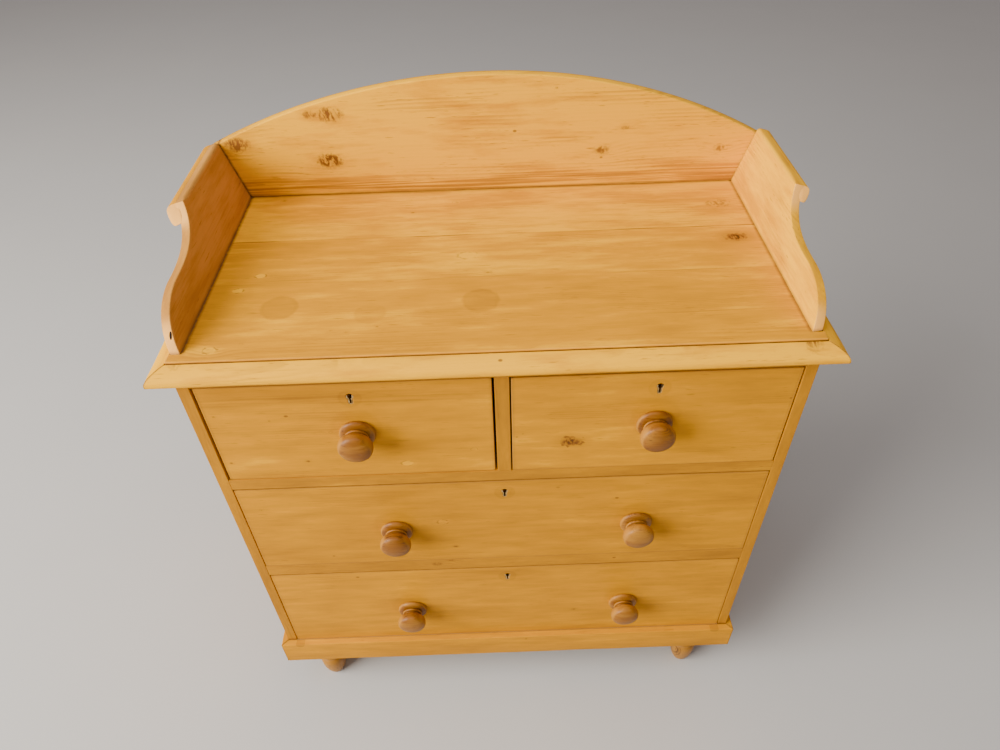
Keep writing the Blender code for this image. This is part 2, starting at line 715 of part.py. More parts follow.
def gallery_side(word, hand, height, waist_height, roll_width, roll_height):
    """Leaning side board and the roll planted along the outside of its top."""
    lean = add_frame(f"gallery_{word}_lean", (hand * GALLERY_FOOT, 0.0, SURFACE + FIT),
                     (0.0, hand * GALLERY_LEAN, 0.0))
    sections = (("side", side_section(hand, height)),
                ("roll", roll_section(hand, height, roll_width, roll_height)))
    for kind, section in sections:
        reach = sorted((hand * -OVERRUN, hand * (GALLERY_THICKNESS + roll_width + OVERRUN)))
        piece = sawn(f"gallery_{kind}_{word}", [gallery_blank(height, waist_height)],
                     reach[0], reach[1], "side", WAXED_PINE, lean)
        bar = sawn(f"gallery_{kind}_{word}_bar", [section], FRONT - OVERRUN, BACK, "front",
                   parent=lean)
        join(piece, bar, "INTERSECT")


def splash_half(radius):
    """Half of the splashback's arc, from its peak down to the leaning end."""
    centre = SPLASH_PEAK - radius
    low_reach = GALLERY_FOOT + GALLERY_THICKNESS / cos(GALLERY_LEAN)
    slope = tan(GALLERY_LEAN)
    # The arc meets the leaning end where x = low_reach + slope * z
    a = 1 + slope ** 2
    b = slope * low_reach - centre
    c = low_reach ** 2 + centre ** 2 - radius ** 2
    end_height = (-b + sqrt(b * b - a * c)) / a
    end_reach = low_reach + slope * end_height
    crown = arc((0.0, centre), (radius, radius), 90, 90 - degrees(asin(end_reach / radius)), 18)
    return crown + [(low_reach, 0.0)]


def splash_outline():
    """Arched splashback: ends in line with the leaning sides, its left half a flatter arc."""
    left = [(-x, z) for x, z in splash_half(LEFT_SPLASH_RADIUS)]
    right = splash_half(RIGHT_SPLASH_RADIUS)
    return [(x, SURFACE + FIT + z) for x, z in left[::-1] + right[1:]]


def gallery():
    """Splashback and both sides."""
    splash = sawn("gallery_back", [splash_outline()], SPLASH_FACE, BACK, "front", WAXED_PINE)
    ease(splash, SPLASH_ARRIS)
    gallery_side("left", -1, LEFT_GALLERY_HEIGHT, LEFT_WAIST_HEIGHT, LEFT_ROLL_WIDTH,
                 LEFT_ROLL_HEIGHT)
    gallery_side("right", 1, RIGHT_GALLERY_HEIGHT, RIGHT_WAIST_HEIGHT, RIGHT_ROLL_WIDTH,
                 RIGHT_ROLL_HEIGHT)


# Drawers

BOLT_MIDDLE = DRAWER_FRONT_THICKNESS - LOCK_CASE_THICKNESS / 2


def tails(z_low, z_high, root, start, end, grow):
    """Outlines of a row of dovetails in depth and height, widening away from their root."""
    count = max(2, round((z_high - z_low) / DOVETAIL_PITCH))
    pitch = (z_high - z_low) / count
    outlines = []
    for number in range(count):
        middle = z_low + pitch * (number + 0.5)

        def half(depth):
            return (pitch - PIN_WIDTH) / 2 + DOVETAIL_SLOPE * (1 if end > start else -1) \
                * (depth - root) + grow

        outlines.append([(start, middle - half(start)), (end, middle - half(end)),
                         (end, middle + half(end)), (start, middle + half(start))])
    return outlines


class DrawerShape:
    """Sizes of one drawer box in its own frame: face at y = 0, underside at z = 0."""

    def __init__(self, width, opening, set_back):
        self.half = width / 2
        self.height = opening - FIT - DRAWER_TOP_GAP
        self.set_back = set_back
        self.rear = CARCASS_DEPTH - BACK_THICKNESS - DRAWER_BACK_ROOM - set_back
        self.front_root = DRAWER_FRONT_THICKNESS + FIT
        self.front_tip = DRAWER_FRONT_THICKNESS - DOVETAIL_LENGTH
        self.back_root = self.rear - DRAWER_BACK_THICKNESS - FIT
        self.panel_top = GROOVE_LEVEL + FIT + DRAWER_BOTTOM_THICKNESS
        self.back_low = self.panel_top + FIT
        self.back_high = self.height - DRAWER_BACK_DROP
        self.inner = self.half - DRAWER_SIDE_THICKNESS

    def side_outline(self):
        """Side board with tails at the front and pin sockets at the back."""
        outline = [(self.front_root, 0.0), (self.rear, 0.0), (self.rear, self.back_low - FIT),
                   (self.back_root, self.back_low - FIT)]
        for tail in tails(self.back_low, self.back_high, self.back_root, self.back_root,
                          self.rear, 0.0):
            outline += tail
        outline += [(self.back_root, self.back_high + FIT), (self.rear, self.back_high + FIT),
                    (self.rear, self.height), (self.front_root, self.height)]
        for tail in reversed(tails(0.0, self.height, self.front_root, self.front_root,
                                   self.front_tip, 0.0)):
            outline += list(reversed(tail))
        return outline


def drawer_front(name, shape, frame, knob_places, key_x):
    """Drawer front with blind sockets, bottom groove, knob holes, keyhole and lock recess."""
    front = board(name, (-shape.half, 0.0, 0.0), (shape.half, DRAWER_FRONT_THICKNESS, shape.height),
                  WAXED_PINE, frame)
    sockets = tails(0.0, shape.height, shape.front_root, shape.front_root + OVERRUN,
                    shape.front_tip - FIT, FIT)
    for hand in (-1, 1):
        reach = sorted((hand * (shape.inner - FIT), hand * (shape.half + OVERRUN)))
        join(front, sawn(f"{name}_sockets_{hand + 1}", sockets, reach[0], reach[1], "side",
                         parent=frame))
    reach = shape.inner + GROOVE_DEPTH
    join(front, board(f"{name}_groove", (-reach, DRAWER_FRONT_THICKNESS - GROOVE_DEPTH, GROOVE_LEVEL),
                      (reach, DRAWER_FRONT_THICKNESS + OVERRUN, shape.panel_top + FIT),
                      parent=frame))
    for number, (x, z) in enumerate(knob_places):
        hole = cylinder(f"{name}_knob_hole_{number}", KNOB_STEM_RADIUS + FIT, -OVERRUN,
                        DRAWER_FRONT_THICKNESS + OVERRUN, 16, frame)
        hole.location.x = x
        hole.location.z = z
        join(front, hole)
    keyhole = sawn(f"{name}_keyhole", [keyhole_outline(key_x, shape.height, 0.0)], -OVERRUN,
                   DRAWER_FRONT_THICKNESS / 2, "front", parent=frame)
    join(front, keyhole)
    for number, (low, high) in enumerate(lock_blocks(shape, key_x, FIT)):
        join(front, board(f"{name}_lock_recess_{number}", low, high, parent=frame))
    return front


def drawer_side(name, shape, frame, hand):
    """Drawer side, dovetailed at both ends and grooved for the bottom."""
    reach = sorted((hand * shape.inner, hand * shape.half))
    side = sawn(name, [shape.side_outline()], reach[0], reach[1], "side", INNER_PINE, frame)
    reach = sorted((hand * (shape.inner - OVERRUN), hand * (shape.inner + GROOVE_DEPTH)))
    groove = board(f"{name}_groove", (reach[0], shape.front_tip - OVERRUN, GROOVE_LEVEL),
                   (reach[1], shape.rear + OVERRUN, shape.panel_top + FIT), parent=frame)
    join(side, groove)
    return side


def drawer_back(name, shape, frame):
    """Drawer back, with pins that pass through both sides."""
    back = board(name, (-shape.half, shape.rear - DRAWER_BACK_THICKNESS, shape.back_low),
                 (shape.half, shape.rear, shape.back_high), INNER_PINE, frame)
    openings = tails(shape.back_low, shape.back_high, shape.back_root, shape.back_root - OVERRUN,
                     shape.rear + OVERRUN, FIT)
    for hand in (-1, 1):
        reach = sorted((hand * (shape.inner - FIT), hand * (shape.half + OVERRUN)))
        join(back, sawn(f"{name}_tails_{hand + 1}", openings, reach[0], reach[1], "side",
                        parent=frame))
    return back


def drawer_bottom(name, shape, frame):
    """Thin bottom, slid in from behind under the drawer back."""
    reach = shape.inner + GROOVE_DEPTH - FIT
    return board(name, (-reach, DRAWER_FRONT_THICKNESS - GROOVE_DEPTH + FIT, GROOVE_LEVEL + FIT),
                 (reach, shape.rear, shape.panel_top), INNER_PINE, frame)


def knob_profile():
    """Turned knob: domed head, neck, bead and a spreading flange, with its stem behind."""
    head_rise = KNOB_PROJECTION - KNOB_HEAD_LEVEL
    head_fall = KNOB_HEAD_LEVEL - KNOB_HEAD_BACK
    bead_half = 0.0016
    profile = arc((0.0, KNOB_HEAD_LEVEL), (KNOB_HEAD_RADIUS, head_rise), 90, 0, 6)
    profile += arc((KNOB_NECK_RADIUS, KNOB_HEAD_LEVEL),
                   (KNOB_HEAD_RADIUS - KNOB_NECK_RADIUS, head_fall), -30, -90, 2)
    profile += [(KNOB_NECK_RADIUS, KNOB_BEAD_LEVEL + 2 * bead_half)]
    profile += arc((KNOB_BEAD_RADIUS - bead_half, KNOB_BEAD_LEVEL), (bead_half, bead_half), 60, -60, 2)
    profile += bezier((KNOB_BEAD_RADIUS - bead_half, KNOB_FLANGE_HEIGHT),
                      (KNOB_FLANGE_RADIUS * 0.88, KNOB_FLANGE_HEIGHT),
                      (KNOB_FLANGE_RADIUS, KNOB_FLANGE_HEIGHT * 0.75),
                      (KNOB_FLANGE_RADIUS, FIT), 3)
    profile += [(KNOB_STEM_RADIUS, FIT), (KNOB_STEM_RADIUS, -KNOB_STEM_LENGTH),
                (0.0, -KNOB_STEM_LENGTH)]
    return profile


def knob(name, frame, x, z):
    """Turned knob on a drawer front, its axis pointing out of the face."""
    piece = turned(name, knob_profile(), KNOB_SEGMENTS, TURNED_WOOD, frame)
    piece.rotation_euler = (pi / 2, 0.0, 0.0)
    piece.location = (x, 0.0, z)
    return piece


def keyhole_outline(x, height, shrink):
    """Keyhole in the drawer face: a round head over a straight slot with a round foot."""
    radius = KEYHOLE_RADIUS - shrink
    slot = KEYHOLE_SLOT - shrink
    middle = height - KEYHOLE_LEVEL
    foot_level = middle + KEYHOLE_RADIUS - KEYHOLE_LENGTH + KEYHOLE_SLOT
    spread = degrees(asin(slot / radius))
    head = arc((x, middle), (radius, radius), -90 + spread, 270 - spread, 10)
    toe = arc((x, foot_level), (slot, slot), 180, 360, 4)
    return head + toe


def lock_blocks(shape, x, grow):
    """Boxes of a lock: face plate, works case and top selvedge, grown for its recess."""
    inner = DRAWER_FRONT_THICKNESS
    top = shape.height
    case_half = LOCK_CASE_WIDTH / 2 + grow
    plate_half = LOCK_WIDTH / 2 + grow
    open_face = inner + (OVERRUN if grow else 0.0)
    open_top = top + (OVERRUN if grow else 0.0)
    return [
        ((x - case_half, inner - LOCK_CASE_THICKNESS - grow,
          top - LOCK_HEIGHT + LOCK_CASE_MARGIN - grow), (x + case_half, open_face, open_top)),
        ((x - plate_half, inner - LOCK_PLATE - grow, top - LOCK_HEIGHT - grow),
         (x + plate_half, open_face, open_top)),
        ((x - plate_half, inner - LOCK_CASE_THICKNESS - grow, top - LOCK_SELVEDGE - grow),
         (x + plate_half, open_face, open_top)),
    ]


def lock(name, shape, frame, x):
    """Drawer lock let into the front, with a channel for its bolt and a way in for the key."""
    case, plate, selvedge = lock_blocks(shape, x, 0.0)
    piece = board(name, case[0], case[1], LOCK_BRASS, frame)
    join(piece, board(name + "_plate", plate[0], plate[1], parent=frame), "UNION")
    join(piece, board(name + "_selvedge", selvedge[0], selvedge[1], parent=frame), "UNION")
    half_width = BOLT_WIDTH / 2 + BOLT_CLEARANCE
    half_depth = BOLT_THICKNESS / 2 + BOLT_CLEARANCE
    floor = shape.height - BOLT_SINK - BOLT_HEIGHT - BOLT_CLEARANCE
    join(piece, board(name + "_channel", (x - half_width, BOLT_MIDDLE - half_depth, floor),
                      (x + half_width, BOLT_MIDDLE + half_depth, shape.height + OVERRUN),
                      parent=frame))
    key_way = sawn(name + "_key_way", [keyhole_outline(x, shape.height, FIT)],
                   DRAWER_FRONT_THICKNESS - LOCK_CASE_THICKNESS - OVERRUN,
                   DRAWER_FRONT_THICKNESS - 2 * LOCK_PLATE, "front", parent=frame)
    join(piece, key_way)
    return piece


def bolt(name, shape, frame, x):
    """Lock bolt, flush with the drawer's top edge until the key throws it upwards."""
    top = shape.height - BOLT_SINK
    return board(name, (x - BOLT_WIDTH / 2, BOLT_MIDDLE - BOLT_THICKNESS / 2, top - BOLT_HEIGHT),
                 (x + BOLT_WIDTH / 2, BOLT_MIDDLE + BOLT_THICKNESS / 2, top), BOLT_IRON, frame)


def drawer(name, span, floor, opening, knobs, key_x, set_back=0.0):
    """One drawer, with the frame of its slide at the middle of its face."""
    middle = sum(span) / 2
    shape = DrawerShape(span[1] - span[0], opening, set_back)
    frame = add_frame(name, (middle, FRONT + set_back, floor + FIT))
    places = [(x - middle, shape.height / 2 - drop) for _, x, drop in knobs]
    key_x -= middle
    drawer_front(name + "_front", shape, frame, places, key_x)
    drawer_side(name + "_side_left", shape, frame, -1)
    drawer_side(name + "_side_right", shape, frame, 1)
    drawer_back(name + "_back", shape, frame)
    drawer_bottom(name + "_bottom", shape, frame)
    for (word, _, _), (x, z) in zip(knobs, places):
        knob(f"{name}_{word}", frame, x, z)
    lock(name + "_lock", shape, frame, key_x)
    bolt(name + "_bolt", shape, frame, key_x)


def drawers():
    """Two short drawers over two long ones."""
    left_x = keyhole_of(UPPER_LEFT_SPAN)
    right_x = keyhole_of(UPPER_RIGHT_SPAN)
    drawer("upper_left_drawer", UPPER_LEFT_SPAN, SHORT_FLOOR, SHORT_OPENING,
           [("knob", left_x, SHORT_KNOB_DROP)], left_x, UPPER_LEFT_SET_BACK)
    drawer("upper_right_drawer", UPPER_RIGHT_SPAN, SHORT_FLOOR, SHORT_OPENING,
           [("knob", right_x, SHORT_KNOB_DROP)], right_x)
    long_knobs = [("knob_left", LONG_KNOB_LEFT_INSET - HALF_WIDTH, LONG_KNOB_DROP),
                  ("knob_right", HALF_WIDTH - LONG_KNOB_RIGHT_INSET, LONG_KNOB_DROP)]
    drawer("middle_drawer", LONG_SPAN, MIDDLE_FLOOR, MIDDLE_OPENING, long_knobs,
           LONG_KEYHOLE_SHIFT)
    drawer("lower_drawer", LONG_SPAN, LOWER_FLOOR, LOWER_OPENING, long_knobs,
           LONG_KEYHOLE_SHIFT)


carcass()
edge_strips()
feet()
gallery()
drawers()
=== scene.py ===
import json
from math import cos, pi, radians, sin, tan

import bmesh
import bpy
import numpy as np
from bpy.props import FloatProperty, FloatVectorProperty, IntProperty, PointerProperty
from bpy.types import Operator, Panel, PropertyGroup
from mathutils import Matrix, Vector


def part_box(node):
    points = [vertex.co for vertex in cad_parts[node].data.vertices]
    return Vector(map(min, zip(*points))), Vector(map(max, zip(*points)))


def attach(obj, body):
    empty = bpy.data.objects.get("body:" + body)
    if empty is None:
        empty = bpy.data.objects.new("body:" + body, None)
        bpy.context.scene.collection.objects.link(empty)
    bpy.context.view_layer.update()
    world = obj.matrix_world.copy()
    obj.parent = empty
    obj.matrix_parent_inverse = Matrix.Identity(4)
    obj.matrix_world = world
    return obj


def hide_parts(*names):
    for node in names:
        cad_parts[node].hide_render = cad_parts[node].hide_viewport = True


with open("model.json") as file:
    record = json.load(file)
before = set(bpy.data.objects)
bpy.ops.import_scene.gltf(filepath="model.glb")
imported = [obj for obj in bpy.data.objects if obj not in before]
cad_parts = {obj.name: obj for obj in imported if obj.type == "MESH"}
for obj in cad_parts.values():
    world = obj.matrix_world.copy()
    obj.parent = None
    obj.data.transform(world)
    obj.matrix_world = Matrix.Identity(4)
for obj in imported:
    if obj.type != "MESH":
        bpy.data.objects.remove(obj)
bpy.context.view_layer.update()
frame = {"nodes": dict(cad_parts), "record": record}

bl_info = {
    "name": "Pine washstand",
    "version": (1, 0, 0),
    "blender": (4, 5, 0),
    "location": "3D View > Sidebar > Washstand",
    "description": "Dresses a waxed pine washstand with its boards, turnings and stage",
    "category": "Object",
}

# Places taken from the frame, in metres
MIDDLE = (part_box("top_board")[0].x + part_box("top_board")[1].x) / 2
HALF_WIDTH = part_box("side_right")[1].x - MIDDLE
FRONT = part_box("side_right")[0].y
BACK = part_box("gallery_back")[1].y
SPLASH_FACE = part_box("gallery_back")[0].y
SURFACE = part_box("top_board")[1].z
PLINTH_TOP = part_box("plinth_front")[1].z
PLINTH_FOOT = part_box("plinth_front")[0].z

# Small clearances, and places that several pieces share, in metres
FIT = 0.0003
GALLERY_END = SPLASH_FACE - 0.0009
KEYHOLE_DROP = 0.025
FOOT_SPREAD = 0.368
FRONT_FOOT_DEPTH = 0.027
BACK_FOOT_DEPTH = 0.045
BLOCK_HALF = 0.0255
BLOCK_END = 0.0173
BULB_DROP = 0.060

X, Y, Z = (1, 0, 0), (0, 1, 0), (0, 0, 1)
CORNER_POINTS = 5
BODY = {node: body for body, nodes in frame["record"]["behaviour"]["bodies"].items() for node in nodes}
SLOT = {part["node"]: part["material_slot"] for part in frame["record"]["subparts"]}
NODES = sorted(BODY)
DRAWERS = ("upper_left_drawer", "upper_right_drawer", "middle_drawer", "lower_drawer")


# Sizes and colours that can be changed in the sidebar

def length(name, description, default):
    """A property in metres."""
    return FloatProperty(name=name, description=description, default=default, unit="LENGTH", precision=5)


def colour(name, description, default):
    """A linear colour property."""
    return FloatVectorProperty(name=name, description=description, default=default, subtype="COLOR",
                               min=0.0, max=1.0)


SIZES = {
    "arris": ("Rounding of the boards' square edges", 0.0007),
    "top_arris": ("Rounding of the top board's edges", 0.0016),
    "strip_reach": ("How far the moulding stands out", 0.025),
    "strip_step": ("Drop from the top board to the moulding", 0.0025),
    "strip_height": ("Height of the moulding", 0.0215),
    "nose_drop": ("Depth of the moulding's widest line below its top", 0.0175),
    "strip_gap": ("Opening of the mitres", 0.0005),
    "plinth_reach": ("Thickness of the plinth", 0.012),
    "gallery_thickness": ("Thickness of the leaning sides", 0.014),
    "gallery_inset": ("Gallery foot to the end of the top", 0.017),
    "left_height": ("Height of the left gallery side", 0.105),
    "right_height": ("Height of the right gallery side", 0.097),
    "left_waist": ("Waist height of the left gallery side", 0.0565),
    "right_waist": ("Waist height of the right gallery side", 0.048),
    "left_roll": ("Width of the left roll", 0.0175),
    "right_roll": ("Width of the right roll", 0.0115),
    "left_hook": ("Height of the left roll", 0.0245),
    "right_hook": ("Height of the right roll", 0.0195),
    "splash_peak": ("Height of the splashback's arch", 0.194),
    "left_arch": ("Radius of the arch's left half", 1.070),
    "right_arch": ("Radius of the arch's right half", 0.935),
    "knob_reach": ("Drawer face to the knob's face", 0.041),
    "knob_radius": ("Radius of the knob's head", 0.0252),
    "foot_radius": ("Radius of the foot's bulb", 0.0245),
    "liner": ("Thickness of the keyhole liner", 0.0017),
}


class WashstandSizes(PropertyGroup):
    """Shapes that the frame doesn't give."""
    __annotations__ = {name: length(name, *told) for name, told in SIZES.items()}
    gallery_lean: FloatProperty(name="gallery_lean", description="Outward lean of the gallery sides",
                                default=radians(16.25), subtype="ANGLE")
    back_boards: IntProperty(name="back_boards", description="Boards in the back", default=6, min=1)


WOODS = {
    "pine": ("waxed pine", (0.88, 0.417, 0.002), (0.68, 0.284, 0.002), (0.36, 0.143, 0.008)),
    "bare": ("hidden boards", (0.58, 0.365, 0.140), (0.49, 0.290, 0.100), (0.27, 0.135, 0.043)),
    # Browner, darker copy of the waxed pine for the left gallery side: painted shade for a side whose inner
    # face the light misses
    "brown": ("browner board", (0.54, 0.245, 0.045), (0.44, 0.190, 0.032), (0.27, 0.100, 0.021)),
    "turned": ("turned wood", (0.385, 0.166, 0.017), (0.24, 0.084, 0.006), (0.07, 0.021, 0.006)),
}
TONES = ("pale", "deep", "late")
OTHER_COLOURS = {
    "pine_end": ("Sawn end grain of the waxed pine", (0.88, 0.43, 0.095)),
    "knot": ("Heart of a dark knot", (0.205, 0.074, 0.014)),
    # Near-black inside of a hole: painted shade, as the hole is not cut into the board
    "hollow": ("Inside of a hole in the wood", (0.012, 0.006, 0.004)),
    # Grime colour: dirt in seams, and also painted shade in corners, along seams and under overhangs
    "grime": ("Dirt and old wax in corners", (0.16, 0.064, 0.017)),
    "brass": ("Liners and locks", (0.78, 0.56, 0.24)),
    "iron": ("Bolts of the locks", (0.22, 0.21, 0.20)),
    "floor": ("Plain pale floor", (0.50, 0.485, 0.455)),
}


class WashstandColours(PropertyGroup):
    """Colours of the finishes, linear: a pale, a deep and a late wood tone for each wood, then the others."""
    __annotations__ = {
        f"{wood}_{tone}": colour(f"{wood} {tone}", f"{tone} tone of the {named}", value)
        for wood, (named, *values) in WOODS.items() for tone, value in zip(TONES, values)}
    __annotations__.update({name: colour(name, *told) for name, told in OTHER_COLOURS.items()})


class WashstandStage(PropertyGroup):
    """Lights and camera."""
    key_power: FloatProperty(name="Key", description="Power of the key light", default=650.0, unit="POWER")
    top_power: FloatProperty(name="Top", description="Power of the overhead light", default=42.0,
                             unit="POWER")
    sky: FloatProperty(name="Sky", description="Strength of the surrounding light", default=0.30)
    lens: FloatProperty(name="Lens", description="Focal length in millimetres on a 36 mm frame",
                        default=26.277)
    pitch: FloatProperty(name="Pitch", description="Downward tilt", default=radians(42.570),
                         subtype="ANGLE")
    yaw: FloatProperty(name="Yaw", description="Turn to the left", default=radians(-0.140),
                       subtype="ANGLE")
    roll: FloatProperty(name="Roll", description="Roll of the camera", default=radians(-1.992),
                        subtype="ANGLE")
    place: FloatVectorProperty(name="Place", description="Place of the camera from the middle of the top",
                               default=(0.0013, -0.9178, 1.5153), subtype="TRANSLATION")


def settings(kind):
    """The scene's property group of that kind: sizes, colours or stage."""
    return getattr(bpy.context.scene, "washstand_" + kind)


def sided(hand, name):
    """A size of the left gallery side where hand is -1, or of the right one."""
    return getattr(settings("sizes"), ("left_" if hand < 0 else "right_") + name)


# Shader arithmetic

def sum_of(operation, turned=False):
    """Method of a wire that adds one node of the operation, its two values swapped where turned."""
    return lambda self, other: self.combine(operation, *((other, self) if turned else (self, other)))


class Wire:
    """A socket of a node tree that can be used in sums: each operator adds one node."""

    def __init__(self, tree, socket):
        self.tree = tree
        self.socket = socket

    def combine(self, operation, *values):
        """Math node, or Vector Math node where a value is a vector."""
        vectors = any(isinstance(v, tuple) or isinstance(v, Wire) and v.socket.type in ("VECTOR", "RGBA")
                      for v in values)
        if vectors:
            values = [v if isinstance(v, (Wire, tuple)) else (v, v, v) for v in values]
        kind = "VectorMath" if vectors else "Math"
        return add_node(self.tree, kind, {"operation": operation}, dict(enumerate(values)))

    __add__ = __radd__ = sum_of("ADD")
    __sub__ = sum_of("SUBTRACT")
    __rsub__ = sum_of("SUBTRACT", True)
    __mul__ = __rmul__ = sum_of("MULTIPLY")
    __truediv__ = sum_of("DIVIDE")
    least = sum_of("MINIMUM")
    most = sum_of("MAXIMUM")

    def __abs__(self):
        return self.combine("ABSOLUTE", self)

    def dot(self, other):
        """Dot product of two vectors, a number."""
        return add_node(self.tree, "VectorMath", {"operation": "DOT_PRODUCT"},
                        {0: self, 1: other}, "Value")

    def rise(self, low, high):
        """Smooth step from 0 at low to 1 at high."""
        return add_node(self.tree, "MapRange", {"interpolation_type": "SMOOTHSTEP"},
                        {"Value": self, "From Min": low, "From Max": high})

    def fall(self, low, high):
        """Smooth step from 1 at low to 0 at high."""
        return 1.0 - self.rise(low, high)

    def noise(self, stretch, detail=2.0, roughness=0.5):
        """Smooth noise from 0 to 1, stretched by one scale or by one for each direction."""
        return add_node(self.tree, "TexNoise", None,
                        {"Vector": self * stretch, "Scale": 1.0, "Detail": detail, "Roughness": roughness})

    def blend(self, low, high):
        """Colour between two others, with this wire as the factor."""
        return add_node(self.tree, "Mix", {"data_type": "RGBA", "clamp_factor": True},
                        {0: self, 6: low, 7: high}, 2)


def fill(tree, node, sockets):
    """Give the inputs of a node their values or links."""
    for key, value in sockets.items():
        if isinstance(value, Wire):
            tree.links.new(value.socket, node.inputs[key])
        else:
            node.inputs[key].default_value = value


def add_node(tree, kind, options=None, sockets=None, output=0):
    """New node: its type, then its settings, then the values or links of its sockets."""
    node = tree.nodes.new("ShaderNode" + kind)
    for name, value in (options or {}).items():
        setattr(node, name, value)
    fill(tree, node, sockets or {})
    return Wire(tree, node.outputs[output])


def new_material(name):
    """New material with its node tree and its shader."""
    material = bpy.data.materials.new(name)
    material.use_nodes = True
    return material, material.node_tree, material.node_tree.nodes["Principled BSDF"]


def object_coordinates(tree, output="Object"):
    """Place of a shaded point, or its normal, in the frame's metres."""
    return add_node(tree, "TexCoord", None, None, output)


def opaque(rgb):
    """A colour property with full alpha."""
    return (rgb[0], rgb[1], rgb[2], 1.0)


# Finishes

GROUP_INPUTS = (("Place", "Vector"), ("Seed", "Vector"), ("Pith", "Vector"), ("Spacing", "Float"),
                ("Pull", "Float"), ("Core", "Float"), ("Amber", "Float"), ("Grime", "Float"),
                ("Wear", "Float"), ("End", "Float"))
GROUP_OUTPUTS = (("Colour", "Color"), ("Roughness", "Float"), ("Height", "Float"))


def wood_group(name, pale, deep, late, end, gloss, contrast):
    """Node group of one kind of wood.

    Place is (along, across, depth) in metres. The rings are the fraction of the distance to a
    wandering pith line over the ring spacing. Pull adds rings round a knot.
    """
    if name in bpy.data.node_groups:
        return bpy.data.node_groups[name]
    tree = bpy.data.node_groups.new(name, "ShaderNodeTree")
    for label, kind in GROUP_INPUTS:
        tree.interface.new_socket(label, in_out="INPUT", socket_type="NodeSocket" + kind)
    for label, kind in GROUP_OUTPUTS:
        tree.interface.new_socket(label, in_out="OUTPUT", socket_type="NodeSocket" + kind)
    entry = tree.nodes.new("NodeGroupInput")
    place, seed, pith, spacing, pull, core, amber, grime, wear, end_grain = (
        Wire(tree, entry.outputs[label]) for label, _ in GROUP_INPUTS)
    colours = settings("colours")
    spot = place + seed

    def grain(along, across, detail=2.0, roughness=0.5):
        return spot.noise((along, across, across), detail, roughness)

    # Growth rings
    sweep = grain(1.1, 4.0, 1.0) - 0.5
    ripple = grain(5.0, 34.0, 2.0) - 0.5
    offset = (place - pith) * (0.0, 1.0, 1.0) + sweep * 0.05
    distance = offset.combine("MULTIPLY", offset, (0.0, 1.0, 1.0))
    square = distance.dot(distance)
    radius = square.combine("SQRT", square)
    rings = (radius + ripple * 0.004) / spacing + pull
    phase = rings.combine("FRACT", rings)
    ring_tone = add_node(tree, "TexWhiteNoise", {"noise_dimensions": "1D"},
                         {"W": rings.combine("FLOOR", rings)})
    latewood = phase.rise(0.25, 0.86) * phase.fall(0.90, 1.0) * (0.15 + 0.85 * ring_tone)

    # Fibres, bands and flecks that run along the grain
    fibre = grain(14.0, 640.0, 3.0, 0.62)
    streak = grain(6.0, 230.0, 3.0, 0.6)
    band = grain(1.3, 42.0, 3.0, 0.55)
    blotch = grain(11.0, 64.0, 4.0, 0.62)
    cloud = grain(4.5, 16.0, 2.0, 0.55)
    tide = grain(2.0, 7.0, 1.0)
    patch = grain(6.0, 24.0, 1.0)
    fleck = grain(48.0, 560.0, 1.0).rise(0.66, 0.76) * patch.rise(0.42, 0.62)
    dash = grain(30.0, 330.0, 2.0).rise(0.665, 0.77)
    cells = {"Vector": spot * (11.0, 16.0, 16.0), "Scale": 1.0}
    speck = add_node(tree, "TexVoronoi", None, cells)
    chosen = add_node(tree, "TexVoronoi", None, cells, 1)
    speck = speck.fall(0.020, 0.045) * chosen.dot(X).rise(0.40, 0.45)
    mottle = grain(60.0, 140.0, 2.0)

    # Colour
    tone = (band - 0.5) * 0.9 + (blotch - 0.5) * 3.7 + (cloud - 0.5) * 2.4 + (tide - 0.5) * 1.2 + amber + 0.40
    shade = tone.blend(opaque(pale), opaque(deep))
    shade = ((tone - 0.9) * 0.35).blend(shade, opaque(late))
    shade = (streak.rise(0.54, 0.80) * patch.rise(0.40, 0.62) * contrast).blend(shade, opaque(late))
    lines = latewood * contrast * (0.10 + 0.9 * patch.rise(0.48, 0.72))
    shade = lines.blend(shade, opaque(late))
    shade = ((fibre - 0.50) * contrast * 0.7).blend(shade, opaque(late))
    shade = (fleck * 0.75 + dash * 0.65).blend(shade, opaque(late))
    shade = (end_grain * (0.78 + 0.2 * mottle)).blend(shade, opaque(end))
    shade = (wear * (0.15 + 0.5 * mottle)).blend(shade, opaque(end))
    shade = (core * 0.9 + speck * 0.85).blend(shade, opaque(colours.knot))
    # A hole is painted near black here: painted shade of its inside
    shade = (core - 1.2).blend(shade, opaque(colours.hollow))
    # Dirt and painted shade: the board darkens towards the grime colour in seams, corners and under overhangs
    shade = (grime * (0.45 + 0.75 * mottle)).blend(shade, opaque(colours.grime))

    # Surface
    rough = gloss + (fibre - 0.5) * 0.16 + (cloud - 0.5) * 0.10 + end_grain * 0.18 + grime * 0.2
    relief = latewood * 0.25 + fibre * 0.40 + streak * 0.2 - fleck * 0.7 - speck * 0.8 - core * 0.3
    fill(tree, tree.nodes.new("NodeGroupOutput"), {"Colour": shade, "Roughness": rough, "Height": relief})
    return tree


def woods(kind):
    """The node group of a material slot, with its gloss and how strongly its lines show."""
    c = settings("colours")
    if kind == "turned_wood":
        return wood_group(kind, c.turned_pale, c.turned_deep, c.turned_late, c.turned_pale, 0.40, 1.10)
    if kind == "inner_pine":
        return wood_group(kind, c.bare_pale, c.bare_deep, c.bare_late, c.bare_pale, 0.66, 0.55)
    # The shaded pine takes the brown colours: painted shade for the left gallery side
    first = "brown" if kind == "brown_pine" else "pine"
    return wood_group(kind, *(getattr(c, f"{first}_{tone}") for tone in TONES), c.pine_end, 0.44, 0.55)


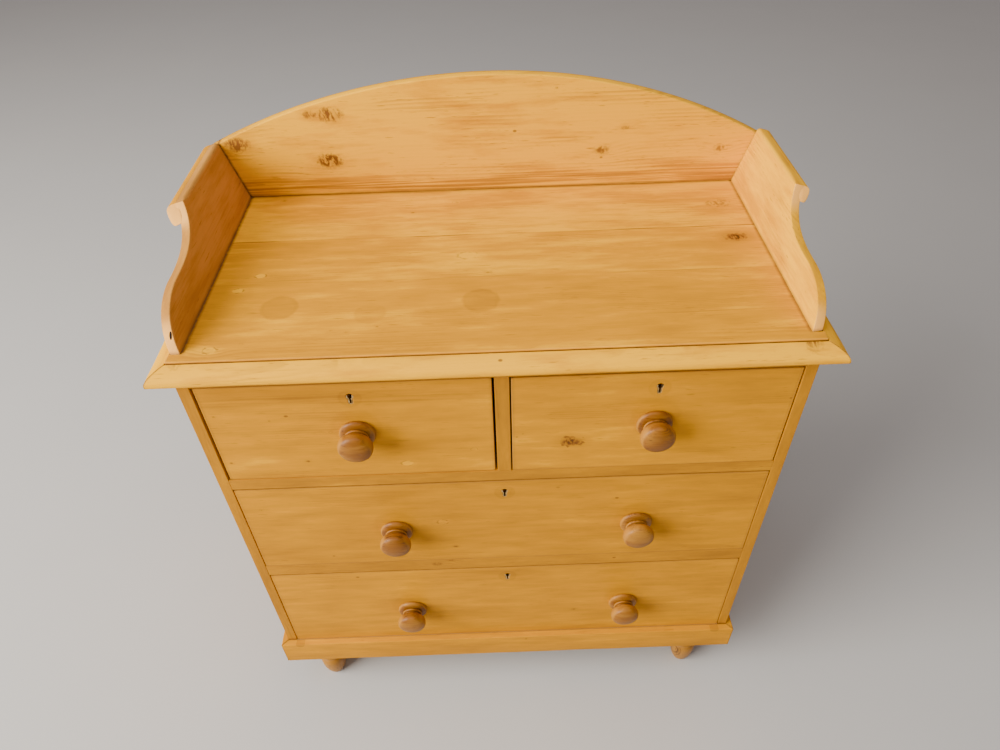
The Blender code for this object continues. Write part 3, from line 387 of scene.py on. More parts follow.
def wood_material(name, kind, seed, grain, across, centre, box=None, pith=None, spacing=0.0042, amber=0.0,
                  knots=(), joints=(), tint=0.0, bands=(), creases=(), stains=(), wear=0.4, holes=()):
    """Material of one board, sawn from its own place in a log.

    grain and across are directions and centre the board's middle. A knot is (point, radius, dark
    heart, dark outline), a joint (place across, strength), tint the change of tone from plank to
    plank, a band (place across, reach, strength), a stain (point, radius, strength) and a hole
    (point, radii), its inside painted near black as its shade. A crease is (direction, place along
    it, reach, strength) and, where it begins behind the front, the depth of its start; it darkens the
    board towards the grime colour, partly dirt and partly painted shade in corners and seams. Points
    are in the frame's metres.
    """
    material, tree, shader = new_material(name)
    grain, across = Vector(grain).normalized(), Vector(across).normalized()
    depth = grain.cross(across)
    picked = np.random.default_rng(seed + 11)
    if pith is None:
        pith = (picked.choice((-1.0, 1.0)) * picked.uniform(0.09, 0.22), picked.uniform(0.02, 0.12))
    shift = tuple(float(v) for v in picked.uniform(-40.0, 40.0, 3))
    point, facing = object_coordinates(tree), object_coordinates(tree, "Normal")
    relative = point - tuple(centre)
    place = add_node(tree, "CombineXYZ", None,
                     {0: relative.dot(tuple(grain)), 1: relative.dot(tuple(across)),
                      2: relative.dot(tuple(depth))})
    if knots or stains:
        flat = place * (1.0, 1.0, 0.0)

    def on_board(p):
        offset = Vector(p) - Vector(centre)
        return (offset.dot(grain), offset.dot(across), 0.0)

    pull, core, grime, tone = 0.0, 0.0, 0.0, amber
    if knots:
        ragged = 0.25 + 1.5 * point.noise(240.0, 3.0, 0.6)
        smear = 0.25 + 1.0 * (flat + shift).noise((270.0, 120.0, 1.0), 2.0).rise(0.36, 0.60)
        arc = point.noise(110.0, 1.0).rise(0.44, 0.58)
    for spot, radius, heart, outline in knots:
        span = (flat - on_board(spot)) * (0.60 / radius, 1.0 / radius, 0.0)
        plain = span.dot(span)
        square = plain * ragged
        fade = plain * -0.16
        pull = pull + fade.combine("EXPONENT", fade) * 1.7
        core = core + square.fall(0.10, 1.0) * smear * heart
        core = core + square.rise(0.55, 1.0) * square.fall(1.0, 1.7) * arc * outline
        tone = tone + plain.fall(0.2, 5.0) * (0.9 * heart - 0.40)
        tone = tone - plain.fall(0.5, 1.3) * (outline * (1.0 - heart) * 1.3)
    for spot, radius, strength in stains:
        span = (flat - on_board(spot)) * (1.0 / radius, 1.0 / radius, 0.0)
        square = span.dot(span) + (point.noise(90.0) - 0.5) * 0.5
        rim = square.rise(0.55, 0.95) * square.fall(0.95, 1.25) * 0.4
        tone = tone + (square.fall(0.75, 1.15) + rim) * strength
    # Holes: painted shade, a near-black patch where the hole's inside lies in shadow
    for spot, radii in holes:
        span = (point - spot) * tuple(1.0 / r for r in radii)
        core = core + span.dot(span).fall(0.55, 1.0) * 3.0
    if joints or bands:
        level = place.dot(Y)
    step = None
    for line, shown in joints:
        passed = level.combine("GREATER_THAN", level, line)
        step = passed if step is None else step + passed
        faint = 0.25 + point.noise((14.0, 2.0, 2.0), 1.0).rise(0.40, 0.60)
        grime = grime + abs(level - line).fall(0.0, 0.0012) * faint * shown
    for middle, reach, strength in bands:
        ragged_level = level + (place + shift).noise((5.0, 60.0, 0.0), 2.0) * 0.02 - 0.01
        broken = 0.2 + 1.4 * (place + shift).noise((4.5, 240.0, 0.0), 3.0).rise(0.42, 0.62)
        tone = tone + abs(ragged_level - middle).fall(0.0, reach) * broken * strength
    seed_wire = shift
    if step is not None:
        tone = tone + step * tint
        seed_wire = step.combine("MULTIPLY_ADD", step, (3.7, 1.9, 2.3), shift)
        pith = step.combine("MULTIPLY_ADD", step, (0.0, 0.13, 0.017), (0.0, pith[0] - 0.1, pith[1]))
    else:
        pith = (0.0, *pith)
    # Creases: painted shade along corners, seams and edges where parts meet, together with the dirt that
    # gathers there
    for direction, level, reach, strength, *start in creases:
        away = abs(point.dot(tuple(Vector(direction).normalized())) - level)
        mark = away.fall(0.0, reach) * strength
        if start:
            mark = mark * point.dot(Y).rise(start[0], start[0] + 0.012)
        grime = grime + mark
    rub = 0.0
    if box is not None:
        gap = (point - tuple(box[0])).least(tuple(box[1]) - point)
        a, b, c = (gap.dot(axis) for axis in (X, Y, Z))
        second = a.least(b).most(a.most(b).least(c))
        rub = second.fall(0.0003, 0.0030) * wear
    end = abs(facing.dot(tuple(grain))).rise(0.45, 0.75)
    node = tree.nodes.new("ShaderNodeGroup")
    node.node_tree = woods(kind)
    fill(tree, node, {"Place": place, "Seed": seed_wire, "Pith": pith, "Spacing": spacing, "Pull": pull,
                      "Core": core, "Amber": tone, "Grime": grime, "Wear": rub, "End": end})
    shade, rough, relief = (Wire(tree, node.outputs[label]) for label, _ in GROUP_OUTPUTS)
    bump = add_node(tree, "Bump", None, {"Strength": 0.35, "Distance": 0.0005, "Height": relief})
    turned = kind == "turned_wood"
    fill(tree, shader, {"Normal": bump, "Base Color": shade, "Roughness": rough,
                        "Specular IOR Level": 0.20 if turned else 0.05,
                        "Coat Weight": 0.04 if turned else 0.0, "Coat Roughness": 0.25})
    return material


def metal_material(name, bright, tarnish, roughness):
    """Old metal: a noise of fine scratches and a slower one of tarnish."""
    material, tree, shader = new_material(name)
    point = object_coordinates(tree)
    cloud = point.noise(160.0, 4.0, 0.6)
    scratch = point.noise((2500.0, 300.0, 900.0), 2.0)
    dull = cloud.rise(0.38, 0.66)
    fill(tree, shader, {"Metallic": 1.0, "Base Color": dull.blend(opaque(bright), opaque(tarnish)),
                        "Roughness": dull * 0.22 + scratch * 0.14 + (roughness - 0.07)})
    bump = {"Height": cloud * 0.6 + scratch * 0.4, "Strength": 0.25, "Distance": 0.0002}
    fill(tree, shader, {"Normal": add_node(tree, "Bump", None, bump, "Normal")})
    return material


# Surfaces

def cubic(a, b, c, d, count):
    """Cubic curve: four control points weighted by the cubic Bernstein polynomials of t from 0 to 1."""
    t = np.linspace(0.0, 1.0, count)[:, None]
    a, b, c, d = (np.array(p, float) for p in (a, b, c, d))
    return (1 - t) ** 3 * a + 3 * t * (1 - t) ** 2 * b + 3 * t * t * (1 - t) * c + t ** 3 * d


def bow(centre, radii, start, end, count):
    """Arc: centre plus the radii, one or two, times cosine and sine of an angle from start to end degrees."""
    t = np.radians(np.linspace(start, end, count))
    return np.array(centre) + radii * np.stack([np.cos(t), np.sin(t)], axis=1)


def piece_from(name, grids, smooth=35.0):
    """One piece from closed grids of points, each (rows, columns, 3).

    Columns wrap round, and the first and last rows are closed with a face. Edges sharper than
    smooth, in degrees, stay sharp.
    """
    points, faces = [], []
    start = 0
    for grid in grids:
        rows, columns = grid.shape[:2]
        index = np.arange(rows * columns).reshape(rows, columns) + start
        start += rows * columns
        around = np.concatenate([index, index[:, :1]], axis=1)
        quads = np.stack([around[:-1, :-1], around[:-1, 1:], around[1:, 1:], around[1:, :-1]], axis=-1)
        faces += quads.reshape(-1, 4).tolist() + [index[0].tolist()[::-1], index[-1].tolist()]
        points.append(grid.reshape(-1, 3))
    mesh = bpy.data.meshes.new(name)
    mesh.from_pydata(np.concatenate(points).tolist(), [], faces)
    work = bmesh.new()
    work.from_mesh(mesh)
    bmesh.ops.remove_doubles(work, verts=work.verts, dist=0.000002)
    bmesh.ops.dissolve_degenerate(work, edges=work.edges, dist=0.0000005)
    bmesh.ops.recalc_face_normals(work, faces=work.faces)
    work.to_mesh(mesh)
    work.free()
    mesh.shade_smooth()
    mesh.set_sharp_from_angle(angle=radians(smooth))
    return placed(name, mesh)


def placed(name, data):
    """New object of the scene for a mesh, light or camera."""
    item = bpy.data.objects.new(name, data)
    bpy.context.scene.collection.objects.link(item)
    return item


def wander(t, seed, amount):
    """Slow unevenness of hand work: a sum of four sines of t with seeded phases."""
    picked = np.random.default_rng(seed)
    total = np.zeros_like(t, dtype=float)
    for step in range(1, 5):
        total += np.sin(t * 2 * pi * (step * 1.7 + picked.uniform(0, 1)) + picked.uniform(0, 6)) / step
    return total * amount


def rounded_ring(half_u, half_v, radius):
    """Rounded rectangle: a quarter circle of the radius in each corner."""
    u, v = half_u - radius, half_v - radius
    return np.concatenate([bow((su * u, sv * v), radius, start, start + 90, CORNER_POINTS)
                           for su, sv, start in ((1, 1, 0), (-1, 1, 90), (-1, -1, 180), (1, -1, 270))])


def planed_board(low, high, along, radius, stations=2):
    """Grid of a board with rounded arrises.

    A rounded rectangle is carried along the board. At both ends it shrinks by radius times
    one minus the sine while it moves in by radius times one minus the cosine.
    """
    low, high = np.array(low, float), np.array(high, float)
    axes = [along] + [axis for axis in range(3) if axis != along]
    middle, half = (low + high) / 2, (high - low) / 2
    turn = np.linspace(0.0, pi / 2, 4)
    reach = np.concatenate([-half[along] + radius * (1 - np.cos(turn)),
                            np.linspace(-half[along], half[along], stations + 2)[1:-1],
                            half[along] - radius * (1 - np.cos(turn))[::-1]])
    inset = np.concatenate([radius * (1 - np.sin(turn)), np.zeros(stations),
                            radius * (1 - np.sin(turn))[::-1]])
    grid = np.zeros((len(reach), 4 * CORNER_POINTS, 3))
    for row, (place, shrink) in enumerate(zip(reach, inset)):
        ring = rounded_ring(half[axes[1]] - shrink, half[axes[2]] - shrink, max(radius - shrink, radius * 0.2))
        grid[row, :, axes[0]] = place
        grid[row, :, axes[1]] = ring[:, 0]
        grid[row, :, axes[2]] = ring[:, 1]
    return grid + middle


def strip(section, edge, gap, uneven, seed):
    """Grid of a strip planted on an edge: its section carried along the edge to 45 degree mitres.

    A section point that stands out by d ends d past the corner, less the mitre gap.
    """
    stations = 48
    out, level = section[:, 0][None, :], section[:, 1][None, :]
    t = np.linspace(0.0, 1.0, stations)[:, None]
    nose = out / section[:, 0].max()
    worn = out - np.abs(wander(t, seed, uneven)) * nose
    high = level + np.zeros_like(t)
    blunt = 0.0004
    corner = np.minimum(HALF_WIDTH + FIT + worn - gap, HALF_WIDTH + section[:, 0].max() - blunt)
    if edge == "front":
        x = -corner + 2 * corner * t
        y = FRONT - FIT - worn + np.zeros_like(t)
    else:
        hand = -1 if edge == "left" else 1
        x = hand * (HALF_WIDTH + FIT + worn) + np.zeros_like(t)
        start = FRONT - FIT - worn + gap
        y = start + (BACK - start) * t
    return np.stack([MIDDLE + x, y, high], axis=-1)


def moulding_section():
    """Thumb moulding: a cubic curve from the inner edge out to the nose, and a rounded toe."""
    s = settings("sizes")
    top, reach = SURFACE - s.strip_step, s.strip_reach
    bottom = top - s.strip_height
    nose = top - s.nose_drop
    curve = cubic((0.0, top), (reach * 0.36, top - 0.0025), (reach, top - 0.0075), (reach, nose), 22)
    round_toe = 0.0035
    toe = bow((reach - round_toe, bottom + round_toe), round_toe, 0, -90, 6)
    groove = [(0.0, top - 0.0060), (0.0007, top - 0.0018), (0.0011, top - 0.0006)]
    return np.concatenate([groove, curve[2:], toe, [(0.0, bottom)]])


def plinth_section():
    """Plain board with its upper outer arris rounded."""
    reach = settings("sizes").plinth_reach
    upper, lower = 0.002, 0.0008
    arris = bow((reach - upper, PLINTH_TOP - upper), upper, 90, 0, 6)
    toe = bow((reach - lower, PLINTH_FOOT + lower), lower, 0, -90, 4)
    return np.concatenate([[(0.0, PLINTH_TOP)], arris, toe, [(0.0, PLINTH_FOOT)]])


def ogee(hand):
    """Ogee front of a gallery side in depth and height: two cubic curves that meet at the waist."""
    height, waist = sided(hand, "height"), sided(hand, "waist")
    toe, middle, horn = FRONT + 0.015, FRONT + 0.115, FRONT + 0.237
    swell = cubic((toe, 0.0), (toe + 0.013, waist * 0.62), (toe + 0.051, waist), (middle, waist), 26)
    hollow = cubic((middle, waist), (middle + 0.0451, waist),
                   (horn - 0.0183, waist + (height - waist) * 0.1), (horn, height), 30)
    return np.concatenate([swell, hollow[1:]]), height


def lean_point(hand, u, v, y):
    """Point at u across the thickness and v up a side that leans outwards from its foot."""
    s = settings("sizes")
    reach = HALF_WIDTH - s.gallery_inset + u * cos(s.gallery_lean) + v * sin(s.gallery_lean)
    up = v * cos(s.gallery_lean) - u * sin(s.gallery_lean)
    return np.stack([MIDDLE + hand * reach + 0 * y, y + 0 * reach, SURFACE + FIT + up + 0 * y], axis=-1)


def gallery_grid(hand):
    """Leaning side: slices from the foot to the outline, their edges rolled over.

    A fillet point lies in from the outline, against its normal, by r times one minus the sine,
    and in from the face by r times one minus the cosine.
    """
    s = settings("sizes")
    curve, height = ogee(hand)
    slope = np.gradient(curve, axis=0)
    slope /= np.linalg.norm(slope, axis=1)[:, None]
    normal = np.stack([-slope[:, 1], slope[:, 0]], axis=1)
    last = np.arctan2(normal[-1, 1], normal[-1, 0])
    turns, steps = 4, 14
    fan = np.linspace(last, pi / 2, turns + 1)[1:]
    run = np.linspace(curve[-1, 0] + 0.0018, GALLERY_END, steps)
    outline = np.concatenate([curve, np.repeat(curve[-1:], turns, axis=0),
                              np.stack([run, np.full(steps, height)], axis=1)])
    normal = np.concatenate([normal, np.stack([np.cos(fan), np.sin(fan)], axis=1),
                             np.tile([[0.0, 1.0]], (steps, 1))])
    # The inner arris grows behind the horn, the outer one shrinks where the roll covers it
    along = np.clip((outline[:, 0] - curve[-1, 0]) / 0.018, 0.0, 1.0)
    inner = 0.0016 + 0.0044 * along ** 2 * (3 - 2 * along)
    angle = np.linspace(0.0, pi / 2, 6)
    covered = np.clip((outline[:, 1] - (height - sided(hand, "hook"))) / 0.004, 0.0, 1.0)
    outer = 0.0014 - 0.0012 * covered
    columns = []
    for side, radius in ((0, inner), (1, outer)):
        for a in angle if side == 0 else angle[::-1]:
            inset, face = radius * (1 - np.sin(a)), radius * (1 - np.cos(a))
            u = face if side == 0 else s.gallery_thickness - face
            columns.append((u, outline[:, 0] - inset * normal[:, 0], outline[:, 1] - inset * normal[:, 1]))
    foot = [(u, y, np.zeros(len(outline))) for u, y, _ in (columns[0], columns[-1])]
    columns = [foot[0], *columns, foot[1]]
    u = np.stack([c[0] for c in columns], axis=1)
    y = np.maximum.accumulate(np.stack([c[1] for c in columns], axis=1), axis=0)
    v = np.maximum(np.stack([c[2] for c in columns], axis=1), u * tan(s.gallery_lean))
    return lean_point(hand, u, v, np.minimum(y, GALLERY_END))


def roll_grid(hand):
    """Roll along a gallery side: its section runs from the ogee, met at each height, to the back."""
    curve, height = ogee(hand)
    width, drop = sided(hand, "roll"), sided(hand, "hook")
    inner = settings("sizes").gallery_thickness - 0.0002
    deep = inner - 0.004
    tip = (inner + width * 0.45, height - drop)
    outer = cubic(tip, (inner + width * 0.86, height - drop * 0.97),
                  (inner + width * 1.01, height - drop * 0.55),
                  (inner + width * 0.95, height - drop * 0.30), 12)
    crown = cubic(outer[-1], (inner + width * 0.91, height - drop * 0.10),
                  (inner + width * 0.62, height - 0.0001), (inner + width * 0.18, height), 12)
    tenon = [(inner, height), (deep, height - 0.002),
             (deep, height - drop * 0.9), (inner, height - drop * 0.97)]
    section = np.concatenate([tenon, outer, crown[1:]])
    rising = curve[curve[:, 1].argsort()]
    begin = np.interp(section[:, 1], rising[:, 1], rising[:, 0]) + 0.0012 * (section[:, 0] < inner)
    middle = np.array((inner, section[:, 1].mean()))
    arris = 0.0004
    rows = []
    for a in np.linspace(0.0, pi / 2, 5):
        shrink = 1 - arris * (1 - np.sin(a)) / (width / 2)
        rows.append((middle + (section - middle) * shrink, begin + arris * (1 - np.cos(a))))
    for t in np.linspace(0.0, 1.0, 12)[1:]:
        rows.append((section, begin + arris + (GALLERY_END - begin - arris) * t))
    ring, y = (np.stack(part) for part in zip(*rows))
    return lean_point(hand, ring[:, :, 0], ring[:, :, 1], y)


def splash_grid():
    """Splashback: columns that fan out with the leaning ends, each cut by the arch.

    x is k times (reach + slope z) for k from -1 to 1, and z solves the circle through the peak.
    """
    s = settings("sizes")
    k = np.linspace(-1.0, 1.0, 121)
    reach = HALF_WIDTH - s.gallery_inset + s.gallery_thickness / cos(s.gallery_lean)
    slope = tan(s.gallery_lean)
    radius = np.where(k < 0, s.left_arch, s.right_arch)
    centre = s.splash_peak - radius
    a = 1 + (k * slope) ** 2
    b = k * k * slope * reach - centre
    c = (k * reach) ** 2 + centre ** 2 - radius ** 2
    top = (-b + np.sqrt(b * b - a * c)) / a
    arris = 0.0024
    turn = np.linspace(0.0, pi / 2, 6)
    ring = [(SPLASH_FACE, None)]
    ring += [(SPLASH_FACE + arris * (1 - np.cos(t)), arris * (1 - np.sin(t))) for t in turn]
    ring += [(BACK - arris * (1 - np.cos(t)), arris * (1 - np.sin(t))) for t in turn[::-1]]
    ring += [(BACK, None)]
    z = np.stack([0 * top if inset is None else top - inset for _, inset in ring], axis=1)
    y = np.stack([0 * top + depth for depth, _ in ring], axis=1)
    x = k[:, None] * (reach + slope * z)
    return np.stack([MIDDLE + x, y, SURFACE + FIT + z], axis=-1)


def revolve(profile, centre, axis, count=72):
    """Grid of a turning: each profile point (radius, height) swept round an axis through centre."""
    t = np.linspace(0.0, 2 * pi, count, endpoint=False)
    radius, height = profile[:, 0][:, None], profile[:, 1][:, None]
    u, v, w = radius * np.cos(t), radius * np.sin(t), height + 0 * t
    layers = (u, -w, v) if axis == "y" else (u, v, w)
    return np.stack(layers, axis=-1) + np.array(centre)


def knob_profile():
    """Knob from its face to its flange: dome, rounded rim, cove, bead and a spreading flange."""
    s = settings("sizes")
    top, radius = s.knob_reach, s.knob_radius
    face = cubic((0.0, top), (radius * 0.42, top),
                 (radius * 0.80, top - 0.0022), (radius * 0.93, top - 0.0066), 14)
    rim = cubic(face[-1], (radius * 1.015, top - 0.0098),
                (radius * 1.02, top - 0.0165), (radius * 0.9, top - 0.0205), 12)
    under = cubic(rim[-1], (radius * 0.76, top - 0.0243), (0.0140, top - 0.0235), (0.0134, 0.0150), 10)
    bead = bow((0.0158, 0.0111), 0.0021, 80, -80, 9)
    flange = cubic((0.0158, 0.0083), (0.0215, 0.0080), (0.0262, 0.0064), (0.0262, 0.0022), 10)
    foot = bow((0.0248, 0.0017), 0.0014, 0, -90, 4)
    return np.concatenate([face, rim[1:], under[1:], [(0.0138, 0.0134)], bead, flange, foot, [(0.0, 0.0003)]])


def foot_profile():
    """Foot from its collar to its toe: cove, bead and a bulb that tapers to a small toe."""
    bulb = settings("sizes").foot_radius
    top, level = PLINTH_FOOT - FIT, PLINTH_FOOT - BULB_DROP
    crown = level + bulb * 0.62
    collar = bow((0.0265, top - 0.0045), 0.0015, 0, -90, 5)
    cove = cubic((0.0250, top - 0.006), (0.0155, top - 0.0065),
                 (0.0155, crown + 0.014), (0.0160, crown + 0.0082), 12)
    bead = bow((0.0160, crown + 0.004), np.array((0.006, 0.004)), 75, -75, 9)
    shoulder = cubic((0.0165, crown), (bulb * 0.86, crown - 0.001), (bulb, level + 0.009), (bulb, level), 12)
    taper = cubic((bulb, level), (bulb, level * 0.62), (0.0188, level * 0.2), (0.0128, 0.0014), 16)
    return np.concatenate([[(0.0, top), (0.0272, top), (0.028, top - 0.0008)], collar, cove, bead, shoulder,
                           taper[1:], [(0.0118, 0.0), (0.0, 0.0)]])


def keyhole_liner(x, y, head, gap):
    """Liner bent round a keyhole: a U of constant thickness set in from the hole's own outline."""
    radius, slot, drop = 0.0050 - gap, 0.0032 - gap, 0.0113
    spread = np.degrees(np.arcsin(slot / radius))
    left = bow((x, head), radius, 150, 270 - spread, 8)
    toe = bow((x, head - drop), slot, 180, 360, 9)
    right = bow((x, head), radius, -90 + spread, 30, 8)
    path = np.concatenate([left, toe, right])
    centre = np.stack([np.full(len(path), x), np.clip(path[:, 1], head - drop, head)], axis=1)
    inward = centre - path
    inward /= np.linalg.norm(inward, axis=1)[:, None]
    within = path + inward * settings("sizes").liner
    face, heel = y + 0.0002, y + 0.0045
    rows = [(path, face), (within, face), (within, heel), (path, heel)]
    return np.stack([np.stack([p[:, 0], np.full(len(p), depth), p[:, 1]], axis=1) for p, depth in rows],
                    axis=1)


# How each board's grain lies

def grain_of(node):
    """Directions along and across the grain of a node."""
    lean = settings("sizes").gallery_lean
    if "_drawer_side" in node:
        return Y, Z
    if node in ("side_left", "side_right"):
        return Z, Y
    if node in ("centre_divider", "back_panel"):
        return Z, X
    if node in ("top_board", "upper_dustboard", "lower_dustboard", "bottom_board") or node.endswith("_bottom"):
        return X, Y
    if node.startswith("gallery") and node != "gallery_back":
        hand = -1 if node.endswith("left") else 1
        return Y, (hand * sin(lean), 0, cos(lean))
    if node.startswith(("moulding", "plinth")) and not node.endswith("front"):
        return Y, Z
    if node.startswith("foot"):
        return Z, X
    return X, Z


def dress(item, node, **options):
    """Wood for a piece, from the box and grain of the node that it replaces and whose body it rides on."""
    low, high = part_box(node)
    grain, across = grain_of(node)
    options.setdefault("kind", SLOT[node])
    options.setdefault("amber", next((tone for start, tone in AMBER.items() if node.startswith(start)), 0.0))
    material = wood_material(node + "_wood", seed=NODES.index(node), grain=grain, across=across,
                             centre=(low + high) / 2, **options)
    item.data.materials.clear()
    item.data.materials.append(material)
    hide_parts(node)
    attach(item, BODY[node])


def nodes_with(word):
    """Nodes whose names hold the word, in order."""
    return [node for node in NODES if word in node]


def on_top(x, y):
    """Point on the top board, from its middle and the front of the carcass."""
    return (MIDDLE + x, FRONT + y, SURFACE)


def on_splash(x, z):
    """Point on the splashback's face, from its middle and the top board."""
    return (MIDDLE + x, SPLASH_FACE, SURFACE + z)


def on_front(x, z):
    """Point on the front plane of the carcass."""
    return (x, FRONT, z)


def marks(place, rows):
    """Knots or stains from rows that begin with the two numbers of a place on a face."""
    return [(place(first, second), *rest) for first, second, *rest in rows]


# Marks seen on the boards. A knot is its place on the face, radius, heart and outline
FRONT_KNOTS = {
    "upper_right_drawer_front": ((0.107, 0.7216, 0.0100, 1.35, 1.10), (0.0285, 0.7355, 0.0013, 0.7, 0.0),
                                 (0.0372, 0.7414, 0.0011, 0.6, 0.0)),
    "upper_left_drawer_front": ((-0.3922, 0.7972, 0.0016, 0.8, 0.0), (-0.3181, 0.7853, 0.0014, 0.5, 0.0),
                                (-0.2368, 0.7567, 0.0013, 0.4, 0.0), (-0.2812, 0.6977, 0.0022, 0.9, 0.0),
                                (-0.3945, 0.6995, 0.0020, 0.7, 0.0), (-0.1350, 0.6850, 0.0055, 0.0, 0.5),
                                (-0.0349, 0.7108, 0.0030, 0.2, 0.5)),
    "middle_drawer_front": ((-0.0939, 0.5383, 0.0055, 0.1, 0.7), (-0.0774, 0.4682, 0.0030, 0.9, 0.1),
                            (-0.3780, 0.5873, 0.0020, 0.7, 0.0), (-0.2866, 0.4534, 0.0020, 0.7, 0.1)),
    "lower_rail": ((-0.1138, 0.4178, 0.0060, 0.7, 0.2), (-0.0887, 0.4284, 0.0035, 0.8, 0.1)),
    "lower_drawer_front": ((0.1318, 0.2495, 0.003, 0.6, 0.3),),
}
TOP_KNOTS = ((0.372, 0.353, 0.0105, 0.65, 0.45), (0.375, 0.249, 0.0100, 1.45, 0.70),
             (-0.346, 0.189, 0.0050, 0.0, 0.85), (-0.371, 0.153, 0.0050, 0.0, 0.80),
             (-0.377, 0.021, 0.0060, 0.10, 0.80), (-0.353, 0.412, 0.0022, 0.8, 0.2),
             (-0.059, 0.386, 0.0038, 0.30, 0.35), (-0.008, 0.177, 0.0032, 0.6, 0.3),
             (-0.1605, 0.059, 0.0016, 0.5, 0.0), (-0.1308, 0.3571, 0.0022, 0.7, 0.1),
             (-0.2004, 0.0493, 0.0018, 0.7, 0.0), (-0.2218, 0.0537, 0.0018, 0.6, 0.0),
             (-0.3377, 0.0321, 0.0024, 0.5, 0.1), (-0.0386, 0.2247, 0.0090, 0.0, 0.45))
SPLASH_KNOTS = ((-0.266, 0.062, 0.0150, 1.20, 0.10), (-0.253, 0.140, 0.0150, 0.95, 0.05),
                (-0.285, 0.141, 0.0080, 0.80, 0.05), (-0.412, 0.095, 0.0150, 0.95, 0.05),
                (0.187, 0.064, 0.0085, 0.85, 0.25), (0.384, 0.060, 0.0065, 0.65, 0.25),
                (0.222, 0.101, 0.0045, 0.70, 0.10), (0.109, 0.170, 0.0020, 0.60, 0.10))
# Knots of the front moulding, one after another: x, how far in front of the carcass, radius, heart, outline
MOULDING_KNOTS = ((0.2492, 0.025, 0.0028, 1.1, 0.3), (0.413, 0.028, 0.0075, 0.9, 0.4),
                  (-0.4125, 0.02, 0.005, 0.5, 0.3), (-0.1881, 0.018, 0.003, 0.7, 0.2))
# Rings left by bowls and cups: place on the top, radius, strength
TOP_STAINS = ((-0.3026, 0.1087, 0.026, 0.90), (-0.0197, 0.1102, 0.026, 0.90), (-0.173, 0.0885, 0.022, 0.35))
# Knots of the carcass sides, not seen in the photo: place in depth and height, radius, heart
SIDE_KNOTS = ((-0.085, 0.655, 0.0085, 0.7), (0.112, 0.402, 0.0110, 0.5), (0.020, 0.214, 0.0060, 0.8),
              (0.160, 0.790, 0.0040, 0.6), (-0.140, 0.330, 0.0030, 0.5))
# How much darker than usual each board is, the first name that fits counts: partly each board's own tone,
# partly painted shade that darkens the plinth, the front frame, the drawer fronts and the left gallery side
# and roll
AMBER = {
    "moulding": -0.30, "gallery_back": -0.35, "gallery_side_left": 0.2, "gallery_roll_left": 1.0,
    "gallery_side_right": 0.10, "gallery": -0.35, "top_board": 0.85, "side_": 1.6, "centre_divider": 1.9,
    "plinth": 1.4, "top_rail": 1.5, "upper_rail": 1.5, "lower_rail": 1.5, "foot": -0.5,
    "upper_left_drawer_front": 1.05, "upper_right_drawer_front": 0.95, "middle_drawer_front": 1.55,
    "lower_drawer_front": 1.40, "upper_left_drawer_knob": 0.7, "upper_right_drawer_knob": 0.9,
    "middle_drawer_knob_left": 0.35, "middle_drawer_knob_right": 0.0, "lower_drawer_knob_left": 0.4,
    "lower_drawer_knob_right": -0.3,
}


# Pieces

